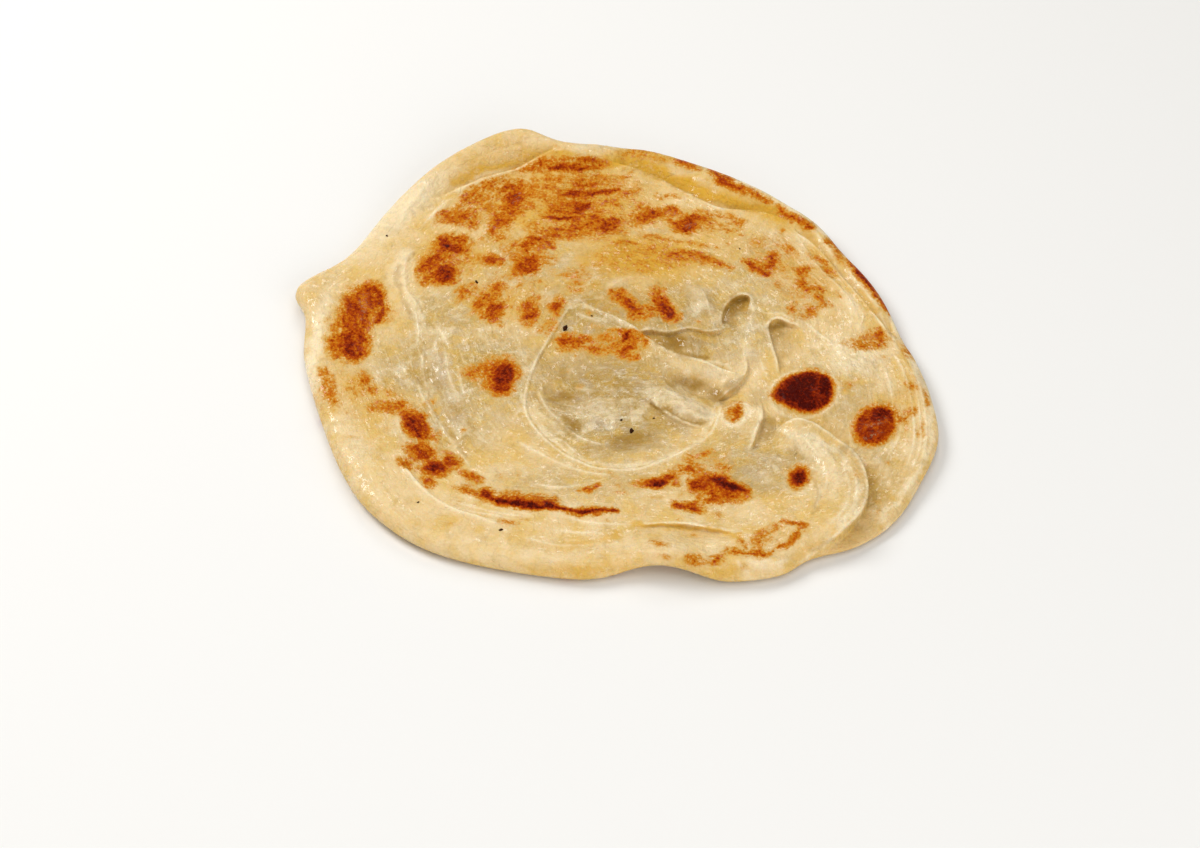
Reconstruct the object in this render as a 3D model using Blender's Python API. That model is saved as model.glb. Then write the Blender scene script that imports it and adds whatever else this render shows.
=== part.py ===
"""A paratha: one round of coiled, layered dough, pressed flat and pan-fried.

The bread is one closed solid. Its upper and lower faces are laid out as flat triangulations inside one
outline and then lifted to their heights, so folds, lips, troughs and pockets are real relief. Sizes are in
millimetres, measured in plan from the middle of the bread, with +Y towards the raised back rim.
"""

import math
from collections import namedtuple

import bpy
import numpy as np
from mathutils import Vector
from mathutils.geometry import delaunay_2d_cdt

MM = 0.001

# Driving dimensions, in millimetres.
DOUGH_THICKNESS = 5.4      # plain layered dough between the folds
THINNEST = 1.8             # dough left under the deepest pocket
EDGE_THICKNESS = 5.0       # rolled edge of the outer wrap
LOWER_LAYER_THICKNESS = 3.4   # the single layer that shows beyond the front right lobe
TOP_ROUNDING = 4.6         # how far in the upper face takes to level out from the edge
UNDER_ROUNDING = 3.6       # the same on the lower face
EQUATOR = 0.45             # height of the edge's widest line, as a share of the edge's thickness
LOWER_LAYER_DIRECTION = 330   # where that single layer shows, in degrees from the middle
LOWER_LAYER_SPREAD = 42    # half the angle that it takes up
LOWER_LAYER_REACH = 30     # how far in from the edge the dough has its full thickness again

# Spacing of the mesh points, in millimetres.
EDGE_STEP = 3.2
ROW_STEP = 2.4
TOP_STEP = 3.3
UNDER_STEP = 8.5
TOP_INSETS = (0.5, 1.8, 4.2)
UNDER_INSETS = (0.5, 1.8, 4.2, 9.0)
CLEARANCE = 0.52           # least gap between points, as a share of the step
RING_CLEARANCE = 1.0       # least gap between points on the rings inside the edge
RING_SHARE = 0.8           # a ring's point is dropped nearer to the edge than this share of its inset
LEAST_INSET = 0.4          # nothing but the edge itself comes nearer to the edge
FIELD_HALF_WIDTH = 96      # the field of points reaches past the bread on every side
CELL = 4.0                 # side of the squares that neighbouring points are looked up in
GUIDE_STEP = 1.5           # spacing of the points that guide a smooth curve
CURVE_DETAIL = 0.4         # spacing of the points that a smooth curve is measured with
ROW_GAP = 2.2              # distance of the row that runs beside a fold's crest or foot
ROW_CLEARANCE = 0.8        # least gap between points on rows

CRUMB_COLOUR = (0.80, 0.58, 0.27, 1.0)
CRUMB_ROUGHNESS = 0.5

# The outline, anticlockwise from the right. The ear is at the far left, the notch between the lobe and the
# lower layer is at the front right.
OUTLINE = [
    (77, 3), (71.5, 22), (63, 38), (55.6, 50), (44, 60), (29, 71), (12, 79), (-3, 80.8), (-14, 80.5),
    (-27, 85.4), (-38, 82.3), (-53, 71.5), (-65.6, 55), (-75, 38), (-88, 22.5), (-85.2, 12), (-84.5, -3),
    (-79.5, -23), (-72, -45), (-64, -59.5), (-51, -71), (-33, -77.8), (-11, -81.8), (3, -79.8), (14, -80.8),
    (27, -82.6), (40, -80.5), (48, -75), (60, -70.5), (70, -62), (77.5, -49), (83.2, -34), (82.5, -18),
    (79.5, -4),
]

# Places where the bread lifts off what it lies on: direction in degrees, half width in degrees, height at the
# edge, and how far in from the edge the lift begins.
Lift = namedtuple("Lift", "direction spread height reach")
LIFTS = [
    Lift(108, 42, 5.2, 24),    # back rim, curled up
    Lift(60, 30, 2.2, 16),     # its run down the right side
    Lift(278, 11, 3.6, 15),    # wave in the front edge
    Lift(166, 12, 2.0, 14),    # ear
    Lift(340, 26, 1.2, 12),    # lower layer, right
    Lift(225, 20, 0.8, 12),    # outer wrap, front left
]

# Swellings of the outer wrap: direction, half width, height, distance in from the edge, half width across.
Swell = namedtuple("Swell", "direction spread height inset width")
SWELLS = [
    Swell(215, 70, 1.0, 11, 9),
    Swell(105, 42, 1.8, 4.5, 5),
    Swell(40, 38, 1.3, 3.5, 4),
    Swell(310, 18, 0.8, 9, 8),
]

# A fold is an edge of dough that lies over its neighbour. The upper layer is on the left of the path. It
# stands up by rise and sinks back over back; the lower layer drops by fall and comes back over front; the
# edge itself is lip wide. The fold fades in and out over the two lengths in fades.
Fold = namedtuple("Fold", "rise back fall front lip fades path")
FOLDS = [
    # The lobe, the loose end of the outer wrap, over the lower layer.
    Fold(2.0, 20, 1.0, 16, 1.5, (0.1, 8), [(46.5, -76), (56, -69), (62, -60), (62.8, -51), (60, -42),
                                           (54, -35), (46, -31), (39, -33.5)]),
    # The hooked lip beside the lobe.
    Fold(0.9, 6, 1.6, 8, 1.2, (4, 4), [(33.4, -41), (35.5, -34), (37.4, -28), (37, -22)]),
    # The outer turns over the sunken middle.
    Fold(1.0, 9, 1.3, 12, 1.3, (6, 6), [(27, -22), (22, -36), (4, -47), (-12, -43), (-23, -30), (-24.5, -19),
                                        (-20.8, -3), (-12, 17)]),
    # The flap that crosses the middle, and its right end.
    Fold(1.5, 12, 1.2, 8, 1.2, (3, 6), [(33, -12.6), (24, -9), (15.8, -6), (8, 0.6), (2, 6), (-12, 17)]),
    Fold(0.9, 6, 1.3, 6, 1.2, (3, 4), [(25, -21.6), (30, -17.5), (33.6, -11), (34, -5)]),
    # The small flap above it, with a scalloped lip.
    Fold(0.8, 12, 2.3, 8, 1.1, (4, 4), [(4, 5), (11, 3.6), (18, 5.8), (23, 4.2), (29, 6)]),
    # The hood of the upper pocket, open towards the front.
    Fold(0.6, 5, 2.5, 6, 1.1, (5, 4), [(27.4, 8), (28.4, 13), (31, 18), (34.2, 19.8), (36.2, 17),
                                       (34.6, 12)]),
    # The hood of the right-hand pocket.
    Fold(0.8, 6, 2.1, 9, 1.2, (8, 4), [(42, -13), (42.2, -8), (40.4, 0), (41, 8), (44, 8.6), (50, 6)]),
    # The inner layers against the troughs inside the rim: back left, back right, right.
    Fold(0.5, 6, 1.8, 12, 1.2, (8, 10), [(-14, 78), (-27, 74.6), (-39, 69), (-50, 61), (-55, 54)]),
    Fold(0.6, 6, 2.3, 6.5, 1.2, (7, 10), [(50, 47), (41, 51), (30, 54.5), (18, 62), (8, 69), (-4, 73)]),
    Fold(0.4, 5, 1.5, 5, 1.2, (6, 8), [(74, 2), (67.6, 14), (61, 26), (56, 36), (48, 46)]),
    # The slit in the front.
    Fold(0.7, 6, 1.3, 5, 1.2, (6, 6), [(0, -66.4), (10, -65.4), (20, -67), (30, -70)]),
    # The outer wrap against the inner turns, front left.
    Fold(0.5, 8, 0.7, 6, 1.4, (8, 10), [(-30, -66), (-41, -62.5), (-51, -54), (-58, -43)]),
]

# A ridge is a rounded crease of dough, a negative height makes it a groove.
Ridge = namedtuple("Ridge", "height width fades path")
RIDGES = [
    Ridge(0.9, 2.6, 8, [(-70, 42), (-60, 52), (-55, 61), (-50, 68)]),
    Ridge(0.8, 2.2, 6, [(-56, 40), (-60, 31), (-58, 20), (-54, 11)]),
    Ridge(-0.7, 2.4, 8, [(-53, -2), (-51.5, -14), (-47, -30), (-38, -48)]),
    Ridge(0.8, 2.6, 8, [(-38, -54), (-27, -58.5), (-12, -62), (2, -62)]),
    Ridge(1.9, 4.4, 3, [(9, -19.5), (16, -24), (23.5, -28)]),
    Ridge(0.8, 2.4, 5, [(40, -37), (50, -39), (55, -50), (53, -62)]),
    Ridge(0.6, 2.2, 5, [(57, -35), (62, -42), (70, -43)]),
    Ridge(0.6, 2.0, 4, [(-5, 20), (3, 25.5), (12, 24)]),
    Ridge(0.6, 2.0, 4, [(20, 25), (24, 15), (27.5, 6)]),
    Ridge(0.5, 1.8, 6, [(47, 42), (56, 27), (64, 13), (65, 3)]),
]

# A hollow is an oval dip: centre, direction of its long axis in degrees, half length, half width, depth.
Hollow = namedtuple("Hollow", "x y turn half_length half_width depth")
HOLLOWS = [
    Hollow(20, -16.5, -20, 11, 4.2, 1.7),     # valley below the crossing flap
    Hollow(-2, -30, 0, 17, 12, 0.7),          # floor of the sunken middle
    Hollow(-17, -20, -50, 6, 3, 0.8),         # dent in that floor
    Hollow(36, -51, 10, 9, 3, 0.8),           # dimple in the lobe
]

# Blisters, where trapped steam pushed the top layer against the pan: hollows turned upwards.
BLISTERS = [
    Hollow(48.5, -18.5, 35, 9.5, 7.5, -0.9),
    Hollow(67, -32, 72, 9, 6.5, -0.8),
    Hollow(-70.5, 8, 80, 16, 6, -0.6),
    Hollow(-31, -13, 75, 8, 6, -0.6),
    Hollow(26, -53.5, -15, 9, 5, -0.6),
]

# A fold's height varies along it by this share, over this length.
UNEVENNESS = 0.22
UNEVEN_LENGTH = 23.0

# Slow unevenness of the whole sheet: height, wavelength, direction in degrees, phase in degrees.
WAVES = [(0.28, 47, 20, 40), (0.22, 34, 118, 200), (0.15, 24, 71, 310), (0.12, 19, 160, 95)]


def ease(share):
    """Goes smoothly from 0 to 1 as share does."""
    share = np.clip(share, 0.0, 1.0)
    return share * share * (3.0 - 2.0 * share)


def quarter_round(share):
    """The height of a rounded edge, from 0 at its widest line to 1 where it has levelled out."""
    share = np.clip(share, 0.0, 1.0)
    return np.sqrt(1.0 - (1.0 - share) ** 2)


def smooth_curve(points, step, closed=False):
    """Points every step along a smooth curve through the given ones."""
    knots = [Vector((x, y)) for x, y in points]
    if closed:
        knots = [knots[-1]] + knots + knots[:2]
    else:
        knots = [2 * knots[0] - knots[1]] + knots + [2 * knots[-1] - knots[-2]]
    fine = []
    for before, start, end, after in zip(knots, knots[1:], knots[2:], knots[3:]):
        spans = max(4, int((end - start).length / CURVE_DETAIL))
        for i in range(spans):
            t = i / spans
            point = 0.5 * (2 * start + (end - before) * t
                           + (2 * before - 5 * start + 4 * end - after) * t ** 2
                           + (3 * start - before - 3 * end + after) * t ** 3)
            fine.append((point.x, point.y))
    if not closed:
        fine.append(tuple(points[-1]))
    fine = np.array(fine + fine[:1] if closed else fine, float)
    lengths = np.concatenate([[0.0], np.cumsum(np.hypot(*np.diff(fine, axis=0).T))])
    count = max(2, int(round(lengths[-1] / step)))
    places = np.linspace(0.0, lengths[-1], count + 1)
    if closed:
        places = places[:-1]
    return np.stack([np.interp(places, lengths, fine[:, k]) for k in (0, 1)], axis=1)


def beside(curve, points):
    """Each point's distance to the left of the curve, and how far along the curve it lies, both in mm."""
    best = np.full(len(points), np.inf)
    side = np.zeros(len(points))
    along = np.zeros(len(points))
    travelled = 0.0
    for start, end in zip(curve[:-1], curve[1:]):
        run = end - start
        length = math.hypot(*run)
        offset = points - start
        share = np.clip(offset @ run / length ** 2, 0.0, 1.0)
        gap = offset - share[:, None] * run
        squared = (gap ** 2).sum(axis=1)
        nearer = squared < best
        best[nearer] = squared[nearer]
        cross = run[0] * offset[:, 1] - run[1] * offset[:, 0]
        side[nearer] = np.sign(cross)[nearer]
        along[nearer] = (travelled + share * length)[nearer]
        travelled += length
    return side * np.sqrt(best), along, travelled


def fading(along, total, fades):
    """How strongly a fold shows at each place along it."""
    start, end = fades
    uneven = 1.0 + UNEVENNESS * np.sin(2 * math.pi * along / UNEVEN_LENGTH + total)
    return uneven * ease(along / start) * ease((total - along) / end)


def direction_window(points, direction, spread):
    """1 towards the given direction from the middle, falling to 0 at the spread."""
    turn = np.degrees(np.arctan2(points[:, 1], points[:, 0])) - direction
    turn = np.abs((turn + 180.0) % 360.0 - 180.0)
    return 1.0 - ease(turn / spread)


def fold_relief(fold, points):
    distance, along, total = beside(smooth_curve(fold.path, GUIDE_STEP), points)
    upper = fold.rise * (1.0 - ease(distance / fold.back))
    lower = -fold.fall * (1.0 - ease((-distance - fold.lip) / fold.front))
    share = ease((distance + fold.lip) / fold.lip)
    return (lower + (upper - lower) * share) * fading(along, total, fold.fades)


def ridge_relief(ridge, points):
    distance, along, total = beside(smooth_curve(ridge.path, GUIDE_STEP), points)
    shown = fading(along, total, (ridge.fades, ridge.fades))
    return ridge.height * np.exp(-(distance / ridge.width) ** 2) * shown


def hollow_relief(hollow, points):
    turn = math.radians(hollow.turn)
    x = points[:, 0] - hollow.x
    y = points[:, 1] - hollow.y
    along = (x * math.cos(turn) + y * math.sin(turn)) / hollow.half_length
    across = (y * math.cos(turn) - x * math.sin(turn)) / hollow.half_width
    reach = np.sqrt(along ** 2 + across ** 2)
    return -hollow.depth * (1.0 - ease(reach))


def wave_relief(points):
    total = np.zeros(len(points))
    for height, length, direction, phase in WAVES:
        turn = math.radians(direction)
        travel = points[:, 0] * math.cos(turn) + points[:, 1] * math.sin(turn)
        total += height * np.sin(2 * math.pi * travel / length + math.radians(phase))
    return total


class Sheet:
    """The heights of the bread's two faces over its plan."""

    def __init__(self, outline):
        self.ring = np.vstack([outline, outline[:1]])

    def inset(self, points):
        """How far each point lies inside the outline; negative outside it."""
        distance, _, _ = beside(self.ring, points)
        return distance

    def edge_thickness(self, points):
        thin = direction_window(points, LOWER_LAYER_DIRECTION, LOWER_LAYER_SPREAD)
        return EDGE_THICKNESS + (LOWER_LAYER_THICKNESS - EDGE_THICKNESS) * thin

    def lift(self, points, inset):
        total = np.zeros(len(points))
        for lift in LIFTS:
            rise = ease(1.0 - inset / lift.reach)
            total += lift.height * rise * direction_window(points, lift.direction, lift.spread)
        return total

    def thickness(self, points, inset):
        thin = direction_window(points, LOWER_LAYER_DIRECTION, LOWER_LAYER_SPREAD)
        thin *= ease(1.0 - inset / LOWER_LAYER_REACH)
        total = DOUGH_THICKNESS + (LOWER_LAYER_THICKNESS - DOUGH_THICKNESS) * thin + wave_relief(points)
        for swell in SWELLS:
            across = np.exp(-((inset - swell.inset) / swell.width) ** 2)
            total += swell.height * across * direction_window(points, swell.direction, swell.spread)
        for fold in FOLDS:
            total += fold_relief(fold, points)
        for ridge in RIDGES:
            total += ridge_relief(ridge, points)
        for hollow in HOLLOWS + BLISTERS:
            total += hollow_relief(hollow, points)
        return np.maximum(total, THINNEST)

    def top(self, points):
        inset = np.maximum(self.inset(points), 0.0)
        equator = EQUATOR * self.edge_thickness(points)
        levelled = quarter_round(inset / TOP_ROUNDING)
        return self.lift(points, inset) + equator + (self.thickness(points, inset) - equator) * levelled

    def under(self, points):
        inset = np.maximum(self.inset(points), 0.0)
        equator = EQUATOR * self.edge_thickness(points)
        return self.lift(points, inset) + equator * (1.0 - quarter_round(inset / UNDER_ROUNDING))


def sideways(curve, closed=False):
    """Unit vectors to the left of the curve at each of its points."""
    if closed:
        run = np.roll(curve, -1, axis=0) - np.roll(curve, 1, axis=0)
    else:
        run = np.gradient(curve, axis=0)
    run /= np.hypot(*run.T)[:, None]
    return np.stack([-run[:, 1], run[:, 0]], axis=1)


def fold_rows():
    """Rows of points along each fold's crest and foot and along each ridge, then rows beside these, so that
    the mesh follows them."""
    main_rows = []
    side_rows = []
    for fold in FOLDS:
        curve = smooth_curve(fold.path, ROW_STEP)
        aside = sideways(curve)
        main_rows += [curve, curve - aside * fold.lip]
        side_rows += [curve + aside * ROW_GAP, curve - aside * (fold.lip + ROW_GAP)]
    for ridge in RIDGES:
        curve = smooth_curve(ridge.path, ROW_STEP)
        aside = sideways(curve)
        main_rows.append(curve)
        side_rows += [curve + aside * ridge.width, curve - aside * ridge.width]
    return np.vstack(main_rows + side_rows)


def hollow_rows():
    """Ovals of points around each hollow and blister, and its deepest or highest point."""
    rows = []
    for hollow in HOLLOWS + BLISTERS:
        turn = math.radians(hollow.turn)
        for share in (0.0, 0.5, 1.0):
            around = 2 * math.pi * (hollow.half_length + hollow.half_width) / 2 * share
            angles = np.linspace(0, 2 * math.pi, max(1, round(around / ROW_STEP)), endpoint=False)
            along = hollow.half_length * share * np.cos(angles)
            across = hollow.half_width * share * np.sin(angles)
            rows.append(np.stack([
                hollow.x + along * math.cos(turn) - across * math.sin(turn),
                hollow.y + along * math.sin(turn) + across * math.cos(turn),
            ], axis=1))
    return np.vstack(rows)


def triangle_grid(step):
    """An even field of points, each with six neighbours."""
    row_gap = step * math.sqrt(3.0) / 2.0
    rows = int(FIELD_HALF_WIDTH / row_gap)
    points = []
    for row in range(-rows, rows + 1):
        shift = 0.5 * step * (row % 2)
        columns = np.arange(-FIELD_HALF_WIDTH, FIELD_HALF_WIDTH, step) + shift
        points.append(np.stack([columns, np.full(len(columns), row * row_gap)], axis=1))
    return np.vstack(points)


def spread_out(groups, sheet):
    """Takes points in order, skipping any outside the edge or too near one already taken."""
    taken = []
    cells = {}
    for points, gap in groups:
        inside = sheet.inset(points) > LEAST_INSET
        for x, y in points[inside]:
            column, row = int(x // CELL), int(y // CELL)
            near = [p for i in (-1, 0, 1) for j in (-1, 0, 1) for p in cells.get((column + i, row + j), ())]
            if all((x - p[0]) ** 2 + (y - p[1]) ** 2 > gap ** 2 for p in near):
                taken.append((x, y))
                cells.setdefault((column, row), []).append((x, y))
    return np.array(taken)


def inset_rings(outline, sheet, insets):
    """Rings of points at even distances inside the outline."""
    inward = sideways(outline, closed=True)
    rings = []
    for inset in insets:
        ring = outline + inward * inset
        rings.append(ring[sheet.inset(ring) > RING_SHARE * inset])
    return rings


def face_layout(outline, inner):
    """A flat triangulation inside the outline, as indices into outline followed by inner."""
    points = [Vector(p) for p in np.vstack([outline, inner])]
    boundary = list(range(len(outline)))
    _, _, faces, sources, _, _ = delaunay_2d_cdt(points, [], [boundary], 1, 1e-6)
    return [[sources[corner][0] for corner in face] for face in faces]


def upper_points(outline, sheet):
    groups = [(ring, RING_CLEARANCE) for ring in inset_rings(outline, sheet, TOP_INSETS)]
    groups.append((fold_rows(), ROW_CLEARANCE))
    groups.append((hollow_rows(), CLEARANCE * ROW_STEP))
    groups.append((triangle_grid(TOP_STEP), CLEARANCE * TOP_STEP))
    return spread_out(groups, sheet)


def lower_points(outline, sheet):
    groups = [(ring, RING_CLEARANCE) for ring in inset_rings(outline, sheet, UNDER_INSETS)]
    groups.append((triangle_grid(UNDER_STEP), CLEARANCE * UNDER_STEP))
    return spread_out(groups, sheet)


def make_bread():
    outline = smooth_curve(OUTLINE, EDGE_STEP, closed=True)
    sheet = Sheet(outline)
    upper = upper_points(outline, sheet)
    lower = lower_points(outline, sheet)

    edge_height = sheet.top(outline)
    corners = np.vstack([
        np.column_stack([outline, edge_height]),
        np.column_stack([upper, sheet.top(upper)]),
        np.column_stack([lower, sheet.under(lower)]),
    ])
    middle = 0.5 * (corners[:, :2].min(axis=0) + corners[:, :2].max(axis=0))
    corners[:, :2] -= middle
    corners[:, 2] -= corners[:, 2].min()

    faces = face_layout(outline, upper)
    shift = len(upper)
    for face in face_layout(outline, lower):
        lower_face = [corner if corner < len(outline) else corner + shift for corner in face]
        faces.append(lower_face[::-1])

    mesh = bpy.data.meshes.new("paratha")
    mesh.from_pydata((corners * MM).tolist(), [], faces)
    mesh.update()
    mesh.shade_smooth()
    bread = bpy.data.objects.new("paratha", mesh)
    bpy.context.collection.objects.link(bread)
    return bread


def baked_dough():
    material = bpy.data.materials.new("baked_dough")
    material.use_nodes = True
    shader = material.node_tree.nodes["Principled BSDF"]
    shader.inputs["Base Color"].default_value = CRUMB_COLOUR
    shader.inputs["Roughness"].default_value = CRUMB_ROUGHNESS
    shader.inputs["Metallic"].default_value = 0.0
    return material


def main():
    for old in list(bpy.data.objects):
        bpy.data.objects.remove(old)
    bread = make_bread()
    bread.data.materials.append(baked_dough())
    sizes = ", ".join(f"{1000 * side:.1f}" for side in bread.dimensions)
    print(f"paratha: {len(bread.data.polygons)} triangles, {sizes} mm")


main()
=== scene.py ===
# %% [markdown]
# # A paratha, baked in code
#
# A paratha is a flatbread of many thin, buttered layers. The dough is pleated into a rope, the rope is wound
# into a coil, and the coil is rolled flat and fried on a hot pan. What makes it look real is not its round
# shape but what the frying did to it: edges of dough that lie over each other, pockets under them, cream
# dough beside toasted spots, and a thin film of oil.
#
# This lesson builds one bread around a solid that already has the right size. The bread is drawn in
# millimetres and turned into metres when its mesh is made. The camera, the lights and the floor are placed in
# metres.

import math
from collections import namedtuple

import bpy
import numpy as np
from mathutils import Matrix, Vector
from mathutils.geometry import delaunay_2d_cdt
from mathutils.kdtree import KDTree


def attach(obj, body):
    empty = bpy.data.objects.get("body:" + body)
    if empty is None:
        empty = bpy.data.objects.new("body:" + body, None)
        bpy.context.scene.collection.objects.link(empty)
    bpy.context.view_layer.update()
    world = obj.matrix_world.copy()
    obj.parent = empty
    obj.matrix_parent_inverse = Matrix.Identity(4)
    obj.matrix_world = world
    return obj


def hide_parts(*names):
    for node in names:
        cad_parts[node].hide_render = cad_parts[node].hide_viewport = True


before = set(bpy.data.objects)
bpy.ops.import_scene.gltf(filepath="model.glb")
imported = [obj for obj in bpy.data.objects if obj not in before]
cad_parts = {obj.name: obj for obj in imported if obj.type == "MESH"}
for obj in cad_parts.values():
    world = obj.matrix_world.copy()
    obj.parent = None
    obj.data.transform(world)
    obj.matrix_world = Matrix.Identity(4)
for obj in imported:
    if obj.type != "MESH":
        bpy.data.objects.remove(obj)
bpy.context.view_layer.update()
MM = 0.001


# %% [markdown]
# ## Where the camera stands
#
# The bread lies flat and the camera looks down on it at 45 degrees. The point that the plan is drawn around,
# at the height of the bread's surface, has to appear at one pixel of the picture. So the camera is set back
# from that point along its own line of sight, then moved sideways and up until the point falls on that pixel.
# A long lens keeps the far rim almost as large as the near one. The camera is made last, but its values come
# first, because the browned marks are drawn where it sees them.

# %% Camera values
PICTURE_WIDTH, PICTURE_HEIGHT = 1200, 848
BREAD_AT_PIXEL = (619.0, 342.0)
LOOKING_DOWN = math.radians(45.0)
CAMERA_DISTANCE = 0.80
FOCAL_PIXELS = 2981.0
SENSOR_WIDTH = 36.0
LENS = SENSOR_WIDTH * FOCAL_PIXELS / PICTURE_WIDTH
SURFACE_HEIGHT = 6.0
print("lens, mm:", round(LENS, 1))

# %% [markdown]
# ## A blend and a smooth curve
#
# Everything on this bread follows a curve: its outline, the edge of a fold, a crease. So the first tools are
# an S-shaped blend and a smooth curve through a few points. The curve is a Catmull-Rom spline, which passes
# through its own points, so a fold can be drawn by naming the few places that it goes through.


# %% Blend and curve
def ease(share):
    """Goes smoothly from 0 to 1 as share does."""
    share = np.clip(share, 0.0, 1.0)
    return share * share * (3.0 - 2.0 * share)


CURVE_DETAIL = 0.4
FEWEST_SPANS = 4


def smooth_curve(points, step, closed=False):
    """Points every step along a smooth curve through the given ones."""
    knots = [Vector((x, y)) for x, y in points]
    if closed:
        knots = [knots[-1]] + knots + knots[:2]
    else:
        knots = [2 * knots[0] - knots[1]] + knots + [2 * knots[-1] - knots[-2]]
    fine = []
    for before, start, end, after in zip(knots, knots[1:], knots[2:], knots[3:]):
        spans = max(FEWEST_SPANS, int((end - start).length / CURVE_DETAIL))
        for i in range(spans):
            t = i / spans
            point = 0.5 * (2 * start + (end - before) * t
                           + (2 * before - 5 * start + 4 * end - after) * t ** 2
                           + (3 * start - before - 3 * end + after) * t ** 3)
            fine.append((point.x, point.y))
    if not closed:
        fine.append(tuple(points[-1]))
    fine = np.array(fine + fine[:1] if closed else fine, float)
    lengths = np.concatenate([[0.0], np.cumsum(np.hypot(*np.diff(fine, axis=0).T))])
    count = max(2, int(round(lengths[-1] / step)))
    places = np.linspace(0.0, lengths[-1], count + 1)
    if closed:
        places = places[:-1]
    return np.stack([np.interp(places, lengths, fine[:, k]) for k in (0, 1)], axis=1)


print("a quarter of the way is eased to", float(ease(0.25)))

# %% [markdown]
# ## Which side of a curve, and how far
#
# A fold has an upper layer on one side of its lip and a lower layer on the other, so every point has to know
# how far it lies to the left of the curve. The nearest piece of the curve gives the distance, and the sign of
# a cross product gives the side.


# %% Distances from a curve
def beside(curve, points):
    """Distance to the left of the curve, place along it, the curve's length, and the way to its left."""
    best = np.full(len(points), np.inf)
    side = np.zeros(len(points))
    along = np.zeros(len(points))
    left = np.zeros((len(points), 2))
    travelled = 0.0
    for start, end in zip(curve[:-1], curve[1:]):
        run = end - start
        length = math.hypot(*run)
        offset = points - start
        share = np.clip(offset @ run / length ** 2, 0.0, 1.0)
        gap = offset - share[:, None] * run
        squared = (gap ** 2).sum(axis=1)
        nearer = squared < best
        best[nearer] = squared[nearer]
        cross = run[0] * offset[:, 1] - run[1] * offset[:, 0]
        side[nearer] = np.sign(cross)[nearer]
        along[nearer] = (travelled + share * length)[nearer]
        left[nearer] = (-run[1] / length, run[0] / length)
        travelled += length
    return side * np.sqrt(best), along, travelled, left


def sideways(curve, closed=False):
    """Unit vectors to the left of the curve at each of its points."""
    if closed:
        run = np.roll(curve, -1, axis=0) - np.roll(curve, 1, axis=0)
    else:
        run = np.gradient(curve, axis=0)
    run /= np.hypot(*run.T)[:, None]
    return np.stack([-run[:, 1], run[:, 0]], axis=1)


def near(curve, points, reach):
    """Which points lie in the curve's own box, widened by reach, so that the rest need no measuring."""
    return np.all((points > curve.min(axis=0) - reach) & (points < curve.max(axis=0) + reach), axis=1)


# %% [markdown]
# ## The plan: outline, thickness and lifts
#
# These values are the solid's own, so that the finished bread has the solid's form. The outline is drawn
# anticlockwise, with an ear at the left and a notch at the front right where a lobe of dough ends.

# %% Plan values
DOUGH_THICKNESS = 5.4
THINNEST = 1.8
EDGE_THICKNESS = 5.0
LOWER_LAYER_THICKNESS = 3.4
LOWER_LAYER_DIRECTION = 330
LOWER_LAYER_SPREAD = 42
LOWER_LAYER_REACH = 30
TOP_ROUNDING = 4.6
UNDER_ROUNDING = 3.6
EQUATOR = 0.45

OUTLINE = [
    (77, 3), (71.5, 22), (63, 38), (55.6, 50), (44, 60), (29, 71), (12, 79), (-3, 80.8), (-14, 80.5),
    (-27, 85.4), (-38, 82.3), (-53, 71.5), (-65.6, 55), (-75, 38), (-88, 22.5), (-85.2, 12), (-84.5, -3),
    (-79.5, -23), (-72, -45), (-64, -59.5), (-51, -71), (-33, -77.8), (-11, -81.8), (3, -79.8), (14, -80.8),
    (27, -82.6), (40, -80.5), (48, -75), (60, -70.5), (70, -62), (77.5, -49), (83.2, -34), (82.5, -18),
    (79.5, -4),
]
print("points of the outline:", len(OUTLINE))

# %% [markdown]
# ## Lifts, swellings and waves
#
# Parts of the edge lift off the floor: the back rim curls up, and the front edge has one small wave. The
# rolled dough is also thicker in long swellings just inside the rim, and gently wavy all over. Directions
# are degrees round the middle, where 0 is the right and 90 the back.

# %% Lifts, swellings and waves
Lift = namedtuple("Lift", "direction spread height reach")
LIFTS = [
    Lift(108, 42, 5.2, 24),
    Lift(60, 30, 2.2, 16),
    Lift(278, 11, 3.6, 15),
    Lift(166, 12, 2.0, 14),
    Lift(340, 26, 1.2, 12),
    Lift(225, 20, 0.8, 12),
]

Swell = namedtuple("Swell", "direction spread height inset width")
SWELLS = [
    Swell(215, 70, 1.0, 11, 9),
    Swell(105, 42, 1.8, 4.5, 5),
    Swell(40, 38, 1.3, 3.5, 4),
    Swell(310, 18, 0.8, 9, 8),
]

Wave = namedtuple("Wave", "height length direction phase")
WAVES = [
    Wave(0.28, 47, 20, 40),
    Wave(0.22, 34, 118, 200),
    Wave(0.15, 24, 71, 310),
    Wave(0.12, 19, 160, 95),
]
print("lifts:", len(LIFTS), "swellings:", len(SWELLS), "waves:", len(WAVES))

# %% [markdown]
# ## Folds: edges of dough that lie over their neighbours
#
# A fold is more than a bump. On one side an upper layer ends in a lip, on the other the lower layer dips
# under it. One could sculpt each lip by hand, or stack real sheets; here each fold is a curve with the upper
# layer on its left, and two slopes: how far the upper layer rises towards its lip, and how far the lower one
# falls. Push is what makes the lip real: it moves the lip out over the lower layer, so that a camera near the
# floor sees under it. Fades are the lengths over which the fold starts and ends.

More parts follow.
